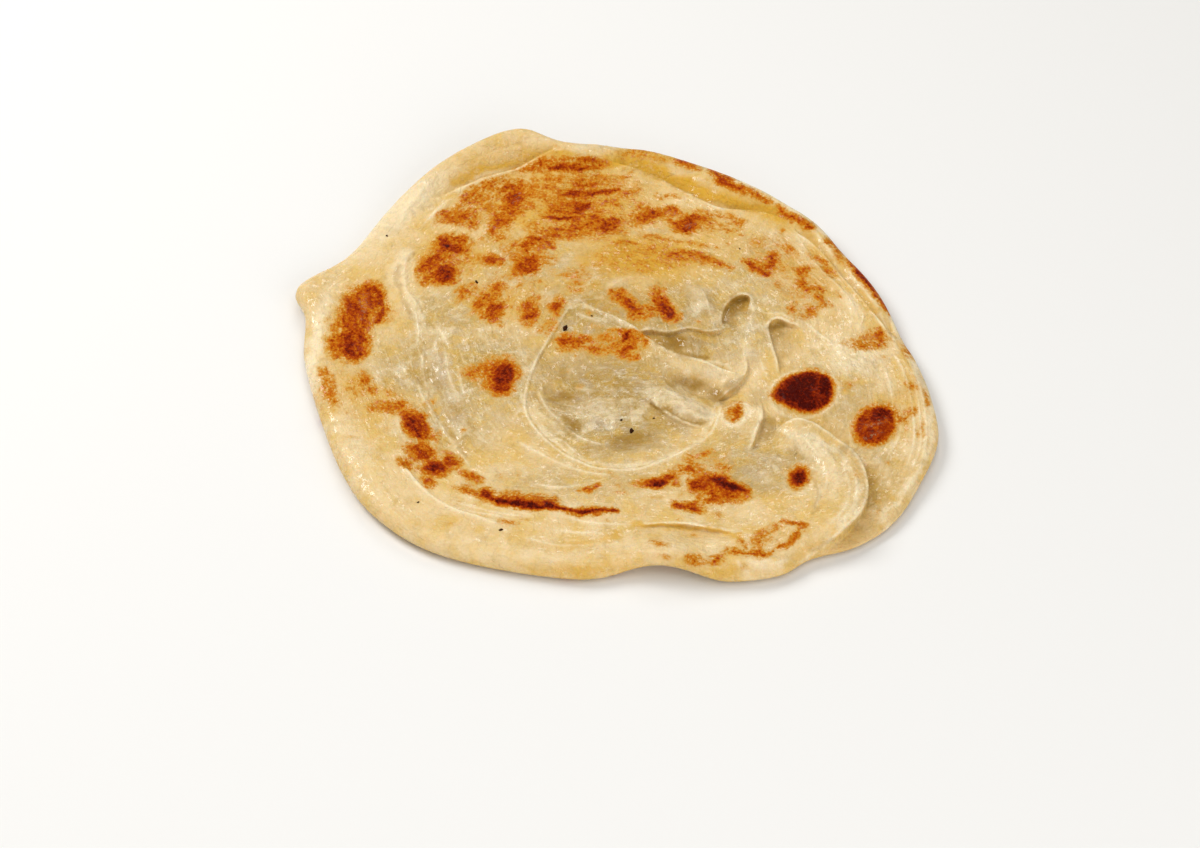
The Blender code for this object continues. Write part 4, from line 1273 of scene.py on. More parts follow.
def browned(points, spots, strokes):
    """Browning from 0 to 1 at each point."""
    total = np.zeros(len(points))
    for spot in spots:
        size = max(spot.length, spot.width)
        close = np.hypot(points[:, 0] - spot.x, points[:, 1] - spot.y) < 0.5 * size + SPOT_MARGIN
        oval = Oval(spot.x, spot.y, spot.turn, spot.length / 2, spot.width / 2)
        mean_half = math.sqrt(spot.length * spot.width) / 2
        beyond = (oval_reach(oval, points[close]) - 1.0) * mean_half
        total[close] += mark(spot.tone, beyond, min(spot.length, spot.width) / 2)
    for stroke in strokes:
        path = smooth_curve(stroke.path, GUIDE_STEP)
        close = near(path, points, stroke.half_width + STROKE_MARGIN)
        distance, along, whole, _ = beside(path, points[close])
        fullness = np.sqrt(np.clip(4 * along * (whole - along) / whole ** 2, 0.0, 1.0))
        taper = STROKE_TIP + (1.0 - STROKE_TIP) * fullness
        beyond = np.abs(distance) - stroke.half_width * taper
        total[close] += mark(stroke.tone, beyond, stroke.half_width)
    return total ** (1.0 / JOIN_POWER)


# %% [markdown]
# ## Freckles and the unseen side
#
# Round the large spots the pan left faint flecks, too many to name, so they are scattered round the named
# spots by chance, from a fixed seed. The unseen side browned in the same pan; its spots are all scattered.

# %% Scattered marks
FRECKLES = 340
FRECKLE_SEED = 23
FRECKLE_SCATTER = 6.0
UNDER_SPOTS = 110
UNDER_SEED = 5
UNDER_REACH = 80


def freckles():
    """Faint small flecks of browning round the large spots."""
    draw = np.random.default_rng(FRECKLE_SEED)
    flecks = []
    while len(flecks) < FRECKLES:
        parent = SPOTS[draw.integers(len(SPOTS))]
        x, y = (parent.x, parent.y) + draw.normal(0.0, FRECKLE_SCATTER, 2)
        size = draw.uniform(0.5, 1.6)
        length = size * draw.uniform(1, 2.4)
        flecks.append(Spot(x, y, length, size, draw.uniform(0, 180), draw.uniform(.10, .25)))
    return flecks


def under_spots():
    """Large ragged spots, longest along the rim."""
    draw = np.random.default_rng(UNDER_SEED)
    spots = []
    while len(spots) < UNDER_SPOTS:
        turn = draw.uniform(0, 2 * math.pi)
        away = UNDER_REACH * math.sqrt(draw.uniform(0.0, 1.0))
        size = draw.uniform(3, 15)
        spots.append(Spot(away * math.cos(turn), away * math.sin(turn), size, size * draw.uniform(.35, .8),
                          math.degrees(turn) + 90 + draw.normal(0, 25), draw.uniform(.22, .78)))
    return spots


# %% [markdown]
# ## Measure the browning
#
# The spots on blisters are measured with less raggedness than the others, because a blister is a tight dome
# with a clean rim. Crests are a little less browned than what lies beside them.

# %% Measure the browning
RAGGEDNESS = 0.85
BLISTER_RAGGEDNESS = 0.35
UNDER_RAGGEDNESS = 1.2
CREST_SPARED = 0.3

seen = as_seen(upper_plan + face.push, face.height)
upper_toast = browned(bent(seen, RAGGEDNESS), SPOTS + freckles(), STROKES)
upper_toast = np.maximum(upper_toast, browned(bent(seen, BLISTER_RAGGEDNESS), BLISTER_SPOTS, []))
upper_toast *= 1.0 - CREST_SPARED * face.crest
under_toast = browned(bent(under_points, UNDER_RAGGEDNESS), under_spots(), [])
print("browned share of the upper face:", round(float((upper_toast > 0.3).mean()), 3))

# %% [markdown]
# ## Tints: golden dough, and painted shade in gold
#
# Between the browned marks the dough isn't one colour. Some gold is the dough's own, a haze round the
# browned marks; the gold in the troughs behind the rim and between the layers is painted shade. Each tint is
# a few wide soft ovals (x, y, length, width, turn, strength) and strokes, whose tone is the strength.

# %% Golden places and painted shade in gold
GOLD_AND_SHADE_AREAS = [
    (6, 77, 22, 7, -6, .65), (-34, 73, 26, 5, 24, .4), (-12, -83, 30, 7, 4, .6), (20, -83, 36, 6, 0, .45),
    (47, -76, 14, 4, 40, .4), (-64, -26, 20, 9, -70, .26), (-14, 56, 70, 36, 0, .60),
    (7, 34, 46, 22, -8, .95), (-46, 34, 26, 34, 10, .36), (-30, 14, 30, 18, 0, .34),
    (52, 26, 34, 22, -60, .42), (24, 42, 36, 20, -30, .34), (-2, 20, 40, 16, 0, .26),
    (0, -2, 34, 12, 0, .24), (-16, -74, 20, 4, 0, .2), (-54, -12, 14, 6, -70, .14),
    (40, -58, 20, 6, -10, .2), (12, -54, 34, 10, 0, .16), (-44, -42, 22, 10, -50, .2),
    (-66, -20, 24, 14, -50, .3),
]
# painted shade in deep gold along the troughs, the slits and the collar's inner face
GOLDEN_SHADE_STROKES = [
    Stroke(.85, 1.7, [(-47, 66), (-40, 70), (-34, 72.6), (-28, 75), (-22, 77.4), (-14, 78.4)]),
    Stroke(.34, 3.6, [(-42, 73), (-36, 76), (-28, 79), (-16, 81)]),
    Stroke(1.0, 2.7, [(-3, 74.6), (5, 74.4), (10, 71), (15, 67.4), (21, 63.6), (27, 60), (33, 57),
                      (39, 54.6), (46, 51)]),
    Stroke(.6, 1.0, [(52, 47), (53.6, 42), (55.6, 38), (57.6, 33), (59.6, 28), (62, 24), (64.6, 19),
                     (67.4, 14)]),
    Stroke(.7, 1.0, [(66, 20), (67.6, 15), (69, 12)]),
    Stroke(.8, 0.8, [(4, -67.6), (10, -67.2), (16, -67.6), (22, -68.8), (30, -70.6)]),
    Stroke(.5, 1.2, [(-12, -74), (-6, -73), (-1, -71)]),
    Stroke(.4, 1.0, [(76, 0), (77.6, -12), (77, -24), (74, -36)]),
]
print("golden places:", len(GOLD_AND_SHADE_AREAS) + len(GOLDEN_SHADE_STROKES))

# %% [markdown]
# ## Tints: pockets and shade
#
# Inside the pockets, under the flap and beside the white roll the dough lies in shade, and that shade is
# painted into its colour, deep and dull. Wider and weaker painted shade lies over the sunken middle.

# %% Pockets and shade
POCKET_SHADE = [
    (32.8, 16.4, 7.4, 6.4, 50, .95), (31.2, 12.6, 9, 7, 66, .86), (30.2, 8.6, 5, 5.6, 0, .5),
    (43.6, 6.4, 7, 5, 10, .85), (43.6, 2.4, 6, 8, 0, .50), (43.8, -3, 5, 9, 0, .28),
    (14.8, 0.6, 11, 8.6, -62, 1.0), (20.4, -0.6, 10, 9, -50, .50), (9.2, 2.6, 6, 4.6, 0, .62),
    (17.8, -5, 7, 4.6, -40, .55), (19, -16.2, 17, 6, -20, .85), (26, -20.8, 8.6, 6.4, -48, .88),
    (31, -16.4, 9, 4.4, 45, .62), (-15, -21.4, 11, 5.6, 6, .86), (-18.6, -18, 5, 8, 30, .5),
    (-12.4, -31, 8, 4, -44, .80), (3.4, -36.6, 17, 9, 8, .76), (14.6, -31.6, 12, 5, -36, .55),
    (-14.6, -12.4, 4.4, 11, 12, .62), (38.8, -33, 4.4, 12, -14, .62), (58.4, -40.4, 3.6, 10, -28, .5),
    (-9.6, -14.6, 7, 3, 60, .38), (36.6, -54.6, 14, 3, -8, .35), (-20, -7, 3.6, 15, 12, .40),
    (-50.6, -14, 3, 15, 10, .3), (-2, -7, 20, 8, 0, .36), (6, -12, 12, 8, 20, .34),
    (-6, -40.4, 13, 3.6, -10, .34), (10.6, -8, 8, 5, -30, .3), (2.6, -26, 5, 9, 0, .3),
]
POCKET_EDGE_SHADE = [
    Stroke(.80, 0.6, [(8.2, -22.4), (12.2, -26.2), (16.2, -29.8), (21, -32.2)]),
    Stroke(.45, 0.5, [(12, -14.6), (17, -18.2), (22, -21.4), (25.4, -25)]),
    Stroke(.40, 0.5, [(5, 4), (8, 4.8), (12, 3.4), (15, 3.8), (18.6, 5), (22, 4), (25.4, 3.6)]),
    Stroke(.40, 0.6, [(-22.6, -19), (-21, -25), (-17, -30.6), (-12, -35)]),
    Stroke(.26, 1.0, [(-15, 12), (-18, 2), (-21, -10), (-22.6, -19)]),
    Stroke(.36, 0.6, [(-60.4, 31), (-61, 24), (-58, 16), (-56, 9)]),
    Stroke(.42, 0.5, [(-52.6, -14), (-50, -24), (-45, -34), (-40, -43)]),
    Stroke(.36, 0.7, [(60.6, -40), (64, -51), (63.4, -60), (57, -69.6), (48, -76)]),
    Stroke(.34, 0.5, [(49, -48), (51, -55), (49, -63)]),
    Stroke(.34, 0.6, [(5, 71.8), (10, 68.8), (15, 65), (21, 61), (27, 57.8), (33, 55), (39, 52.8)]),
    Stroke(.72, 1.1, [(10.4, 1.2), (14, -2.2), (18, -4.8), (23, -6.4)]),
]
SHADE_AREAS = [
    (16.6, 0, 12, 9, 30, .34), (31, 12, 9, 12, 0, .28), (44, 2, 9, 14, 0, .28), (11, -30, 12, 10, -40, .36),
    (20, -16, 22, 7, -18, .40), (-14, -24, 12, 8, 0, .26), (-18, -12, 6, 18, 0, .30),
    (31, -48, 18, 8, 0, .22), (37, -54.6, 14, 6, -6, .22), (60, -26, 10, 14, 0, .16),
    (64, -48, 10, 8, 0, .16), (59.6, -68, 12, 4, 30, .24), (37, -21, 7, 8, 0, .3),
    (-50, -12, 20, 4, -80, .24), (-42, -28, 22, 8, -75, .18), (46, -42, 10, 4, -40, .3),
    (25, 14, 6, 16, 0, .26), (-4, -12, 42, 32, 0, .32), (8, -18, 8, 4, -40, .25), (-14, -20, 16, 16, 0, .3),
    (-8, 8, 20, 12, 0, .16), (16, 20, 20, 14, 0, .22), (-60, -14, 8, 20, 15, .12), (2, 10, 60, 40, 0, .20),
    (19, -24.6, 14, 3, -34, .36), (-28, 0, 14, 30, 0, .12), (23, -17.6, 13, 6, -32, .40),
    (20, -30.4, 12, 2.6, -34, .34), (17, -13.6, 8, 4, -20, .26),
]
print("pockets and shade:", len(POCKET_SHADE) + len(POCKET_EDGE_SHADE) + len(SHADE_AREAS))

# %% [markdown]
# ## Tints: moist, ashen and pale dough
#
# The middle is thin, grey and moist. A few places are ashen grey; the strip under the white roll and a patch
# low in one of the two pockets are painted shade in that grey. The pale places are mostly painted highlight:
# on the rim, the standing edges and lips, and the top of the white roll, which is whitish dough too.

# %% Moist, ashen and pale places, with painted shade and highlight
GREY_AREAS = [
    (-2, -24, 48, 46, 0, .95), (-40, -12, 34, 62, 80, .8), (24, 8, 50, 40, 0, .7), (36, -44, 40, 26, 0, .6),
    (-44, -30, 30, 34, 0, .6), (56, -20, 30, 40, 0, .38), (-46, 10, 26, 36, 0, .6), (66, -48, 24, 34, 0, .36),
    (-6, -52, 60, 14, 0, .4), (-4, 10, 40, 30, 0, .8), (-20, 30, 60, 30, 0, .45), (40, 26, 40, 40, 0, .45),
]
# ashen grey, and painted shade under the white roll and low in one pocket
ASHEN_AND_SHADED_AREAS = [
    (-47.6, -11, 24, 7, -78, .6), (-44, -25, 18, 5, -70, .45), (17, -27, 15, 3.4, -36, .5),
    (30.4, 10.6, 5, 6, 0, .5), (-11, -24, 12, 7, 10, .45), (-16, -28, 9, 4, -45, .4),
    (23, -12.4, 16, 4, -12, .35), (-4, -30, 12, 5, 0, .3), (12, 45.4, 14, 3, -14, .5),
    (-9, 36, 8, 5, 30, .35), (-16, 20, 12, 4, 30, .25), (36, -6, 4, 14, 0, .25), (40, -44, 16, 5, -10, .3),
    (66, -8, 12, 8, 0, .25), (-28, -30, 16, 6, -30, .25), (22, 12, 6, 10, 0, .3),
]
# mostly painted highlight on rims, edges, lips and the white roll, with some paler dough
PALE_AND_HIGHLIGHT_AREAS = [
    (24, -11.4, 20, 5, -16, .28), (31, -13, 8, 6, 0, .3), (-66, -46, 50, 8, -62, .35),
    (-30, -76, 60, 10, -12, .30), (-56, 60, 28, 10, 52, .9), (10, -74, 40, 5, 0, .3),
    (-82, -6, 60, 6, 86, .9), (-64, 50, 44, 14, 55, .75), (34, -12, 8, 10, 0, .4),
    (-50, -8, 14, 4, -78, .45), (52, -46, 22, 6, -76, .5), (-6, -26, 18, 9, 10, .5),
    (42, -33, 12, 4, 0, .55), (34, -81, 12, 6, -10, .7), (-40, 67, 30, 4, 28, .5), (62, -5, 20, 18, 0, .75),
    (30, 70, 60, 3, -42, .85), (-16, 82, 30, 4, -8, .5), (-55, 15, 4, 24, 12, .45),
    (-46, -57, 20, 6, -40, .4), (22, 14, 4, 14, 0, .45), (34, 2, 6, 22, 0, .4), (50, 20, 10, 30, 30, .3),
    (76, -36, 6, 24, 0, .4), (10, 60, 24, 8, -20, .3), (-30, -60, 30, 4, -14, .35),
    (-20.6, -28, 4, 18, 40, .45), (58, -60, 4, 16, 0, .35), (-72, 36, 26, 5, 62, .4),
    (15.4, -22.6, 16, 5, -34, .75), (13, -3.6, 12, 2, -38, .5),
]
PALE_AND_HIGHLIGHT_STROKES = [
    Stroke(.95, 2.0, [(8.4, -18.4), (14, -21.8), (19.6, -25.4), (23.2, -28)]),
    Stroke(.80, 0.5, [(-11.6, 16.6), (-5, 12), (2, 7), (8, 1.4), (12, -2.6), (16, -5.4), (21, -7.2),
                      (27, -8.6), (33, -11)]),
    Stroke(.36, 1.6, [(15, -8.4), (22, -10.6), (29, -12.4)]),
    Stroke(.60, 0.8, [(-25, -20), (-22, -30), (-12, -42.4), (4, -46.4), (20, -38), (24.6, -28)]),
    Stroke(.60, 0.8, [(34.6, 4), (33.6, -4), (34, -9), (30.4, -16.4)]),
    Stroke(.75, 1.0, [(43, -34), (50, -36.4), (56.4, -42), (60, -50), (60.4, -59), (55, -68)]),
    Stroke(.70, 0.6, [(76, 1), (79.6, -10), (81.4, -20), (82, -32), (78.4, -46), (72, -57), (65, -66)]),
    Stroke(.55, 0.5, [(20, 77.6), (30, 71.4), (40, 63), (48.6, 54.6), (57, 46), (64, 36)]),
]
print("moist:", len(GREY_AREAS), "ashen:", len(ASHEN_AND_SHADED_AREAS), "pale:", len(PALE_AND_HIGHLIGHT_AREAS) + len(PALE_AND_HIGHLIGHT_STROKES))

# %% [markdown]
# ## Two maps that change the browning
#
# On some browned marks a thin skin has peeled and shows its pale underside, and on the second blister the
# same pale streaks are painted glints. And where a mark is calm, the noise that breaks up its rim is held
# back, as on the tight domes of the blisters.

# %% Peeled and calm places
PEELED_AND_GLINT_STROKES = [
    # the first two streaks, on the second blister, are painted glints; the rest are peeled skin
    Stroke(.45, 0.6, [(64.6, -31.2), (67.4, -30.8), (70, -29.2)]),
    Stroke(.40, 0.6, [(63.4, -36), (65.6, -35), (68, -33.8)]),
    Stroke(.50, 0.8, [(13.4, 52.4), (15, 53.4), (16.2, 51.2)]),
    Stroke(.50, 1.0, [(13, 34), (15.4, 33.6)]),
    Stroke(.45, 0.9, [(-21.6, 37.6), (-19, 38.8)]),
    Stroke(.40, 0.7, [(-69.6, 18.6), (-68.6, 14), (-69, 9.6)]),
    Stroke(.40, 0.6, [(-29, 57), (-28, 61)]),
    Stroke(.40, 0.6, [(-8.6, 53), (-7, 55.6)]),
    Stroke(.40, 0.6, [(1, 47.6), (3, 49.6)]),
    Stroke(.40, 0.6, [(19.6, 46.6), (21.4, 47.8)]),
    Stroke(.45, 0.6, [(66, 1.6), (69.4, 1.6)]),
]
CALM_AREAS = [
    (30, -26.6, 9, 7, 68, .7), (49.4, -19, 19, 18, 0, .5), (67, -31.4, 17, 11, 66, .5),
    (45.8, -50.4, 9, 6.4, 80, .6), (-31, -13, 13, 10, 84, .4),
]
print("peeled places:", len(PEELED_AND_GLINT_STROKES), "calm places:", len(CALM_AREAS))

# %% [markdown]
# ## Measure the tints
#
# Tints overlap without adding up: the strongest one counts. The depth and the crests that the folds left are
# joined in here, so that every lip has its own painted highlight, a pale line, and its own painted shade in
# gold.

# %% Measure the tints
TINT_RAGGEDNESS = 1.5
STROKE_FULL = 0.4
STROKE_FADE = 1.3
DEPTH_GOLDEN_SHADE = 0.4
DEPTH_SHADE = 0.2
CREST_HIGHLIGHT = 0.9


def tinted(points, areas=(), strokes=(), full=0.3, fade=0.95):
    """How strongly a tint shows: fully up to one share of an oval's reach, then fading over another."""
    ragged = bent(points, TINT_RAGGEDNESS)
    total = np.zeros(len(points))
    for x, y, length, width, turn, strength in areas:
        reach = oval_reach(Oval(x, y, turn, length / 2, width / 2), ragged)
        total = np.maximum(total, strength * (1.0 - ease((reach - full) / fade)))
    for stroke in strokes:
        path = smooth_curve(stroke.path, GUIDE_STEP)
        close = near(path, points, 3.0 * stroke.half_width + STROKE_MARGIN)
        distance, _, _, _ = beside(path, ragged[close])
        shown = 1.0 - ease((np.abs(distance) / stroke.half_width - STROKE_FULL) / STROKE_FADE)
        total[close] = np.maximum(total[close], stroke.tone * shown)
    return total


# painted shade: gold and shade beside lips, in troughs and pockets; painted highlight: pale on crests
upper_gold_and_shade = np.maximum(DEPTH_GOLDEN_SHADE * face.depth, tinted(seen, GOLD_AND_SHADE_AREAS, GOLDEN_SHADE_STROKES))
upper_shade = np.maximum(DEPTH_SHADE * face.depth, tinted(seen, SHADE_AREAS))
upper_shade = np.maximum(upper_shade, tinted(seen, POCKET_SHADE, POCKET_EDGE_SHADE, full=0.22, fade=1.0))
upper_grey = tinted(seen, GREY_AREAS)
upper_ash_and_shade = tinted(seen, ASHEN_AND_SHADED_AREAS)
upper_pale_and_highlight = np.maximum(CREST_HIGHLIGHT * face.crest, tinted(seen, PALE_AND_HIGHLIGHT_AREAS, PALE_AND_HIGHLIGHT_STROKES))
upper_skin_and_glint = tinted(seen, strokes=PEELED_AND_GLINT_STROKES)
upper_calm = tinted(seen, CALM_AREAS, full=0.8, fade=0.5)
print("mean gold, shade, pale:", [round(float(m.mean()), 2) for m in (upper_gold_and_shade, upper_shade, upper_pale_and_highlight)])

# %% [markdown]
# ## Store the maps on the mesh
#
# Numbers on the points of a mesh are attributes, which a shader reads by name. They could also be painted
# into an image, but attributes need no unwrapping and stay as fine as the mesh. One of them, flow, holds
# places: how far a point lies across the coil, and where it lies in the plan.

# %% Store the maps
UNDER_GREY = 0.3
UNDER_GOLD = 0.3
UNDER_GOLD_CHANGE = 0.2
UNDER_GOLD_CELL = 20.0


def put_map(mesh, name, upper_values, lower_values):
    """Stores one number for each point, for both faces."""
    layer = mesh.attributes.new(name, "FLOAT", "POINT")
    values = np.clip(np.concatenate([upper_values, lower_values]), 0.0, 1.0)
    layer.data.foreach_set("value", values.astype(np.float32))


def put_flow(mesh, upper, lower):
    """Places for streaks: millimetres across the coil, then the plan, which the finish stretches."""
    layer = mesh.attributes.new("flow", "FLOAT_VECTOR", "POINT")
    across = np.concatenate([across_coil(upper, face.inset), across_coil(lower, inset_of(lower))])
    flow = np.column_stack([across, np.vstack([upper, lower])])
    layer.data.foreach_set("vector", flow.astype(np.float32).ravel())


under_gold = UNDER_GOLD + UNDER_GOLD_CHANGE * bumpy(under_points, UNDER_GOLD_CELL, layer=61)
nothing = np.zeros(len(under_points))
# gold, shade and pale carry painted shade and painted highlight besides the dough's own tints
for name, upper_values, lower_values in (
    ("toast", upper_toast, under_toast),
    ("gold", upper_gold_and_shade, under_gold),
    ("shade", upper_shade, nothing),
    ("grey", upper_grey, nothing + UNDER_GREY),
    ("ash", upper_ash_and_shade, nothing),
    ("skin", upper_skin_and_glint, nothing),
    ("calm", upper_calm, nothing),
    ("pale", upper_pale_and_highlight, nothing),
):
    put_map(bread.data, name, upper_values, lower_values)
put_flow(bread.data, upper_plan, under_points)
print("maps:", [layer.name for layer in bread.data.attributes if layer.data_type == "FLOAT"])

# %% [markdown]
# ## The finish: dough, fat and browning
#
# Fried dough is slightly see-through, so light sinks in a little and comes out warmer: that is subsurface
# scattering, kept weak because the dough is thin. Its colour is built in layers: cream dough, moist in the
# middle, a painted highlight on the crests, painted shade in gold in the troughs and darker in the pockets.
# Browning goes on last, through a colour ramp from gold over orange and red-brown to almost black. The oil
# film is a thin coat.

# %% Colours, as linear values
CREAM = (0.79, 0.57, 0.270)
MOIST = (0.475, 0.312, 0.092)
BUTTERY = (0.73, 0.465, 0.105)
GREYED = (0.53, 0.42, 0.27)
ASHEN = (0.54, 0.41, 0.27)
# GOLDEN also paints shade in the troughs, SHADED is painted shade in the pockets, PALE paints highlights
GOLDEN = (0.70, 0.385, 0.028)
SHADED = (0.34, 0.185, 0.028)
PEELED_SKIN_AND_GLINT = (0.80, 0.46, 0.22)
PALE = (0.97, 0.84, 0.58)
FLECK = (0.96, 0.84, 0.56)
BLOTCH = (0.40, 0.25, 0.060)
TOAST_STEPS = [
    (0.00, (0.69, 0.45, 0.115)),
    (0.20, (0.64, 0.305, 0.030)),
    (0.36, (0.60, 0.200, 0.007)),
    (0.50, (0.51, 0.100, 0.001)),
    (0.66, (0.36, 0.040, 0.001)),
    (0.82, (0.21, 0.013, 0.001)),
    (1.00, (0.070, 0.003, 0.001)),
]
SCATTER_WEIGHT = 0.28
SCATTER_RADIUS = (1.0, 0.55, 0.28)
SCATTER_SCALE = 0.0016
SPECULAR_LEVEL = 0.03
OIL_ROUGHNESS = 0.17
print("steps of browning:", len(TOAST_STEPS))

# %% [markdown]
# ## A few lines that make node building readable
#
# Shader nodes are wired by name. These helpers add a node, set its values and connect it, so that the finish
# below reads as a list of steps. Noise is read from coordinates that are turned, because the lattice of a
# noise that lies level with a flat bread shows as faint squares.

# %% Node helpers
LATTICE_TURN = (0.5, 0.4, 0.6)
VEIN_WIDTH = 0.022
CELL_SMOOTHNESS = 0.5


class Finish:
    """A material under construction. Sizes are in millimetres."""

    def __init__(self, name):
        self.material = bpy.data.materials.new(name)
        self.material.use_nodes = True
        self.tree = self.material.node_tree
        self.shader = self.tree.nodes["Principled BSDF"]

    def node(self, kind, **settings):
        made = self.tree.nodes.new(kind)
        for key, value in settings.items():
            setattr(made, key, value)
        return made

    def join(self, source, target):
        self.tree.links.new(source, target)

    def feed(self, socket, value):
        """Connects a socket to another, or sets it to a plain value."""
        if isinstance(value, bpy.types.NodeSocket):
            self.join(value, socket)
        else:
            socket.default_value = value

    def read(self, name):
        return self.node("ShaderNodeAttribute", attribute_name=name).outputs["Fac"]

    def places(self):
        """The object's own coordinates, turned so that no noise lines up with the plan."""
        turned = self.node("ShaderNodeMapping")
        turned.inputs["Rotation"].default_value = LATTICE_TURN
        self.join(self.node("ShaderNodeTexCoord").outputs["Object"], turned.inputs["Vector"])
        return turned.outputs["Vector"]

    def flow(self, stretch):
        """Places along the coil, stretched so that noise read from them comes out as streaks."""
        read = self.node("ShaderNodeAttribute", attribute_name="flow")
        scaled = self.node("ShaderNodeVectorMath", operation="MULTIPLY")
        self.join(read.outputs["Vector"], scaled.inputs[0])
        scaled.inputs[1].default_value = (1.0, 1.0 / stretch, 1.0 / stretch)
        return scaled.outputs["Vector"]

    def noise(self, size, detail=3.0, roughness=0.55, distortion=0.0, places=None):
        """Cloudy noise from 0 to 1, on the object's metres or on given places in millimetres."""
        if places is None:
            places = self.places()
            size = size * MM
        made = self.node("ShaderNodeTexNoise")
        self.join(places, made.inputs["Vector"])
        made.inputs["Scale"].default_value = 1.0 / size
        made.inputs["Detail"].default_value = detail
        made.inputs["Roughness"].default_value = roughness
        made.inputs["Distortion"].default_value = distortion
        return made.outputs["Fac"]

    def bubbles(self, size):
        """Small round cells, high in their middles."""
        made = self.node("ShaderNodeTexVoronoi", feature="SMOOTH_F1")
        self.join(self.places(), made.inputs["Vector"])
        made.inputs["Scale"].default_value = 1.0 / (size * MM)
        made.inputs["Smoothness"].default_value = CELL_SMOOTHNESS
        return self.math("SUBTRACT", 1.0, made.outputs["Distance"])

    def veins(self, size):
        """Thin wandering lines: 1 on the line where a noise has its middle value, 0 a little beside it."""
        wandering = self.noise(size, detail=2.0, roughness=0.5, distortion=0.8)
        beside_line = self.math("ABSOLUTE", self.math("SUBTRACT", wandering, 0.5))
        return self.remap(beside_line, 0.0, VEIN_WIDTH, 1.0, 0.0)

    def math(self, operation, first, second=0.0, third=0.0, clamp=False):
        made = self.node("ShaderNodeMath", operation=operation, use_clamp=clamp)
        for socket, value in zip(made.inputs, (first, second, third)):
            self.feed(socket, value)
        return made.outputs["Value"]

    def remap(self, value, low, high, to_low=0.0, to_high=1.0):
        """Blends smoothly from to_low, where value is low, to to_high, where it is high."""
        made = self.node("ShaderNodeMapRange", interpolation_type="SMOOTHSTEP", clamp=True)
        for name, setting in (("Value", value), ("From Min", low), ("From Max", high),
                              ("To Min", to_low), ("To Max", to_high)):
            self.feed(made.inputs[name], setting)
        return made.outputs["Result"]

    def mix(self, share, first, second):
        """Two colours, blended by a share from 0 to 1."""
        made = self.node("ShaderNodeMix", data_type="RGBA")
        self.feed(made.inputs["Factor"], share)
        colours = [socket for socket in made.inputs if socket.type == "RGBA"]
        for socket, value in zip(colours, (first, second)):
            self.feed(socket, (*value, 1.0) if isinstance(value, tuple) else value)
        return next(socket for socket in made.outputs if socket.type == "RGBA")

    def ramp(self, share, steps):
        """A colour for each share, blended between the steps."""
        made = self.node("ShaderNodeValToRGB")
        self.join(share, made.inputs["Fac"])
        stops = made.color_ramp.elements
        while len(stops) < len(steps):
            stops.new(0.5)
        for stop, (place, colour) in zip(stops, steps):
            stop.position = place
            stop.color = (*colour, 1.0)
        return made.outputs["Color"]

    def bump(self, height, depth):
        """The slope of a relief of the given depth."""
        made = self.node("ShaderNodeBump")
        made.inputs["Strength"].default_value = 1.0
        made.inputs["Distance"].default_value = depth * MM
        self.join(height, made.inputs["Height"])
        return made.outputs["Normal"]


# %% [markdown]
# ## Patterns of the skin
#
# A wrinkle, a bubble or a streak is both a form and a colour: its top is painted paler and its foot darker,
# a painted highlight and a painted shade that go with its bump. So these noises are made once, and colour,
# browning and relief all read them.

# %% Patterns that colour and relief share
COARSE_SIZE = 2.8
FINE_SIZE = 0.8
STREAK_SIZE = 1.0
STREAK_STRETCH = 5.0
BUBBLE_SIZE = 1.3
VEIN_SIZE = 5.0

Patterns = namedtuple("Patterns", "coarse fine streaks bubbly veins")


def dough_patterns(finish):
    """The noises that colour and relief share, so that they agree with each other."""
    return Patterns(
        coarse=finish.noise(COARSE_SIZE, detail=4.0, roughness=0.6),
        fine=finish.noise(FINE_SIZE, detail=3.0, roughness=0.65),
        streaks=finish.noise(STREAK_SIZE, detail=4.0, roughness=0.6, distortion=0.7,
                             places=finish.flow(STREAK_STRETCH)),
        bubbly=finish.bubbles(BUBBLE_SIZE),
        veins=finish.veins(VEIN_SIZE),
    )


# %% [markdown]
# ## The colour of plain dough
#
# Seen closely, plain dough is mottled: buttery and grey patches, pale flecks where flour stayed dry, darker
# blotches where it is wet through. Each pattern has the value from which it starts to show, the value where
# it is full, its strength and its colour, and all of them are stronger where the dough is moist.

# %% Plain dough
PATCH_SIZE = 6.5
OTHER_PATCH_SIZE = 4.2
GRAIN_SIZE = 0.45
MOTTLED_DRY = 0.28
MOTTLED_MOIST = 0.72


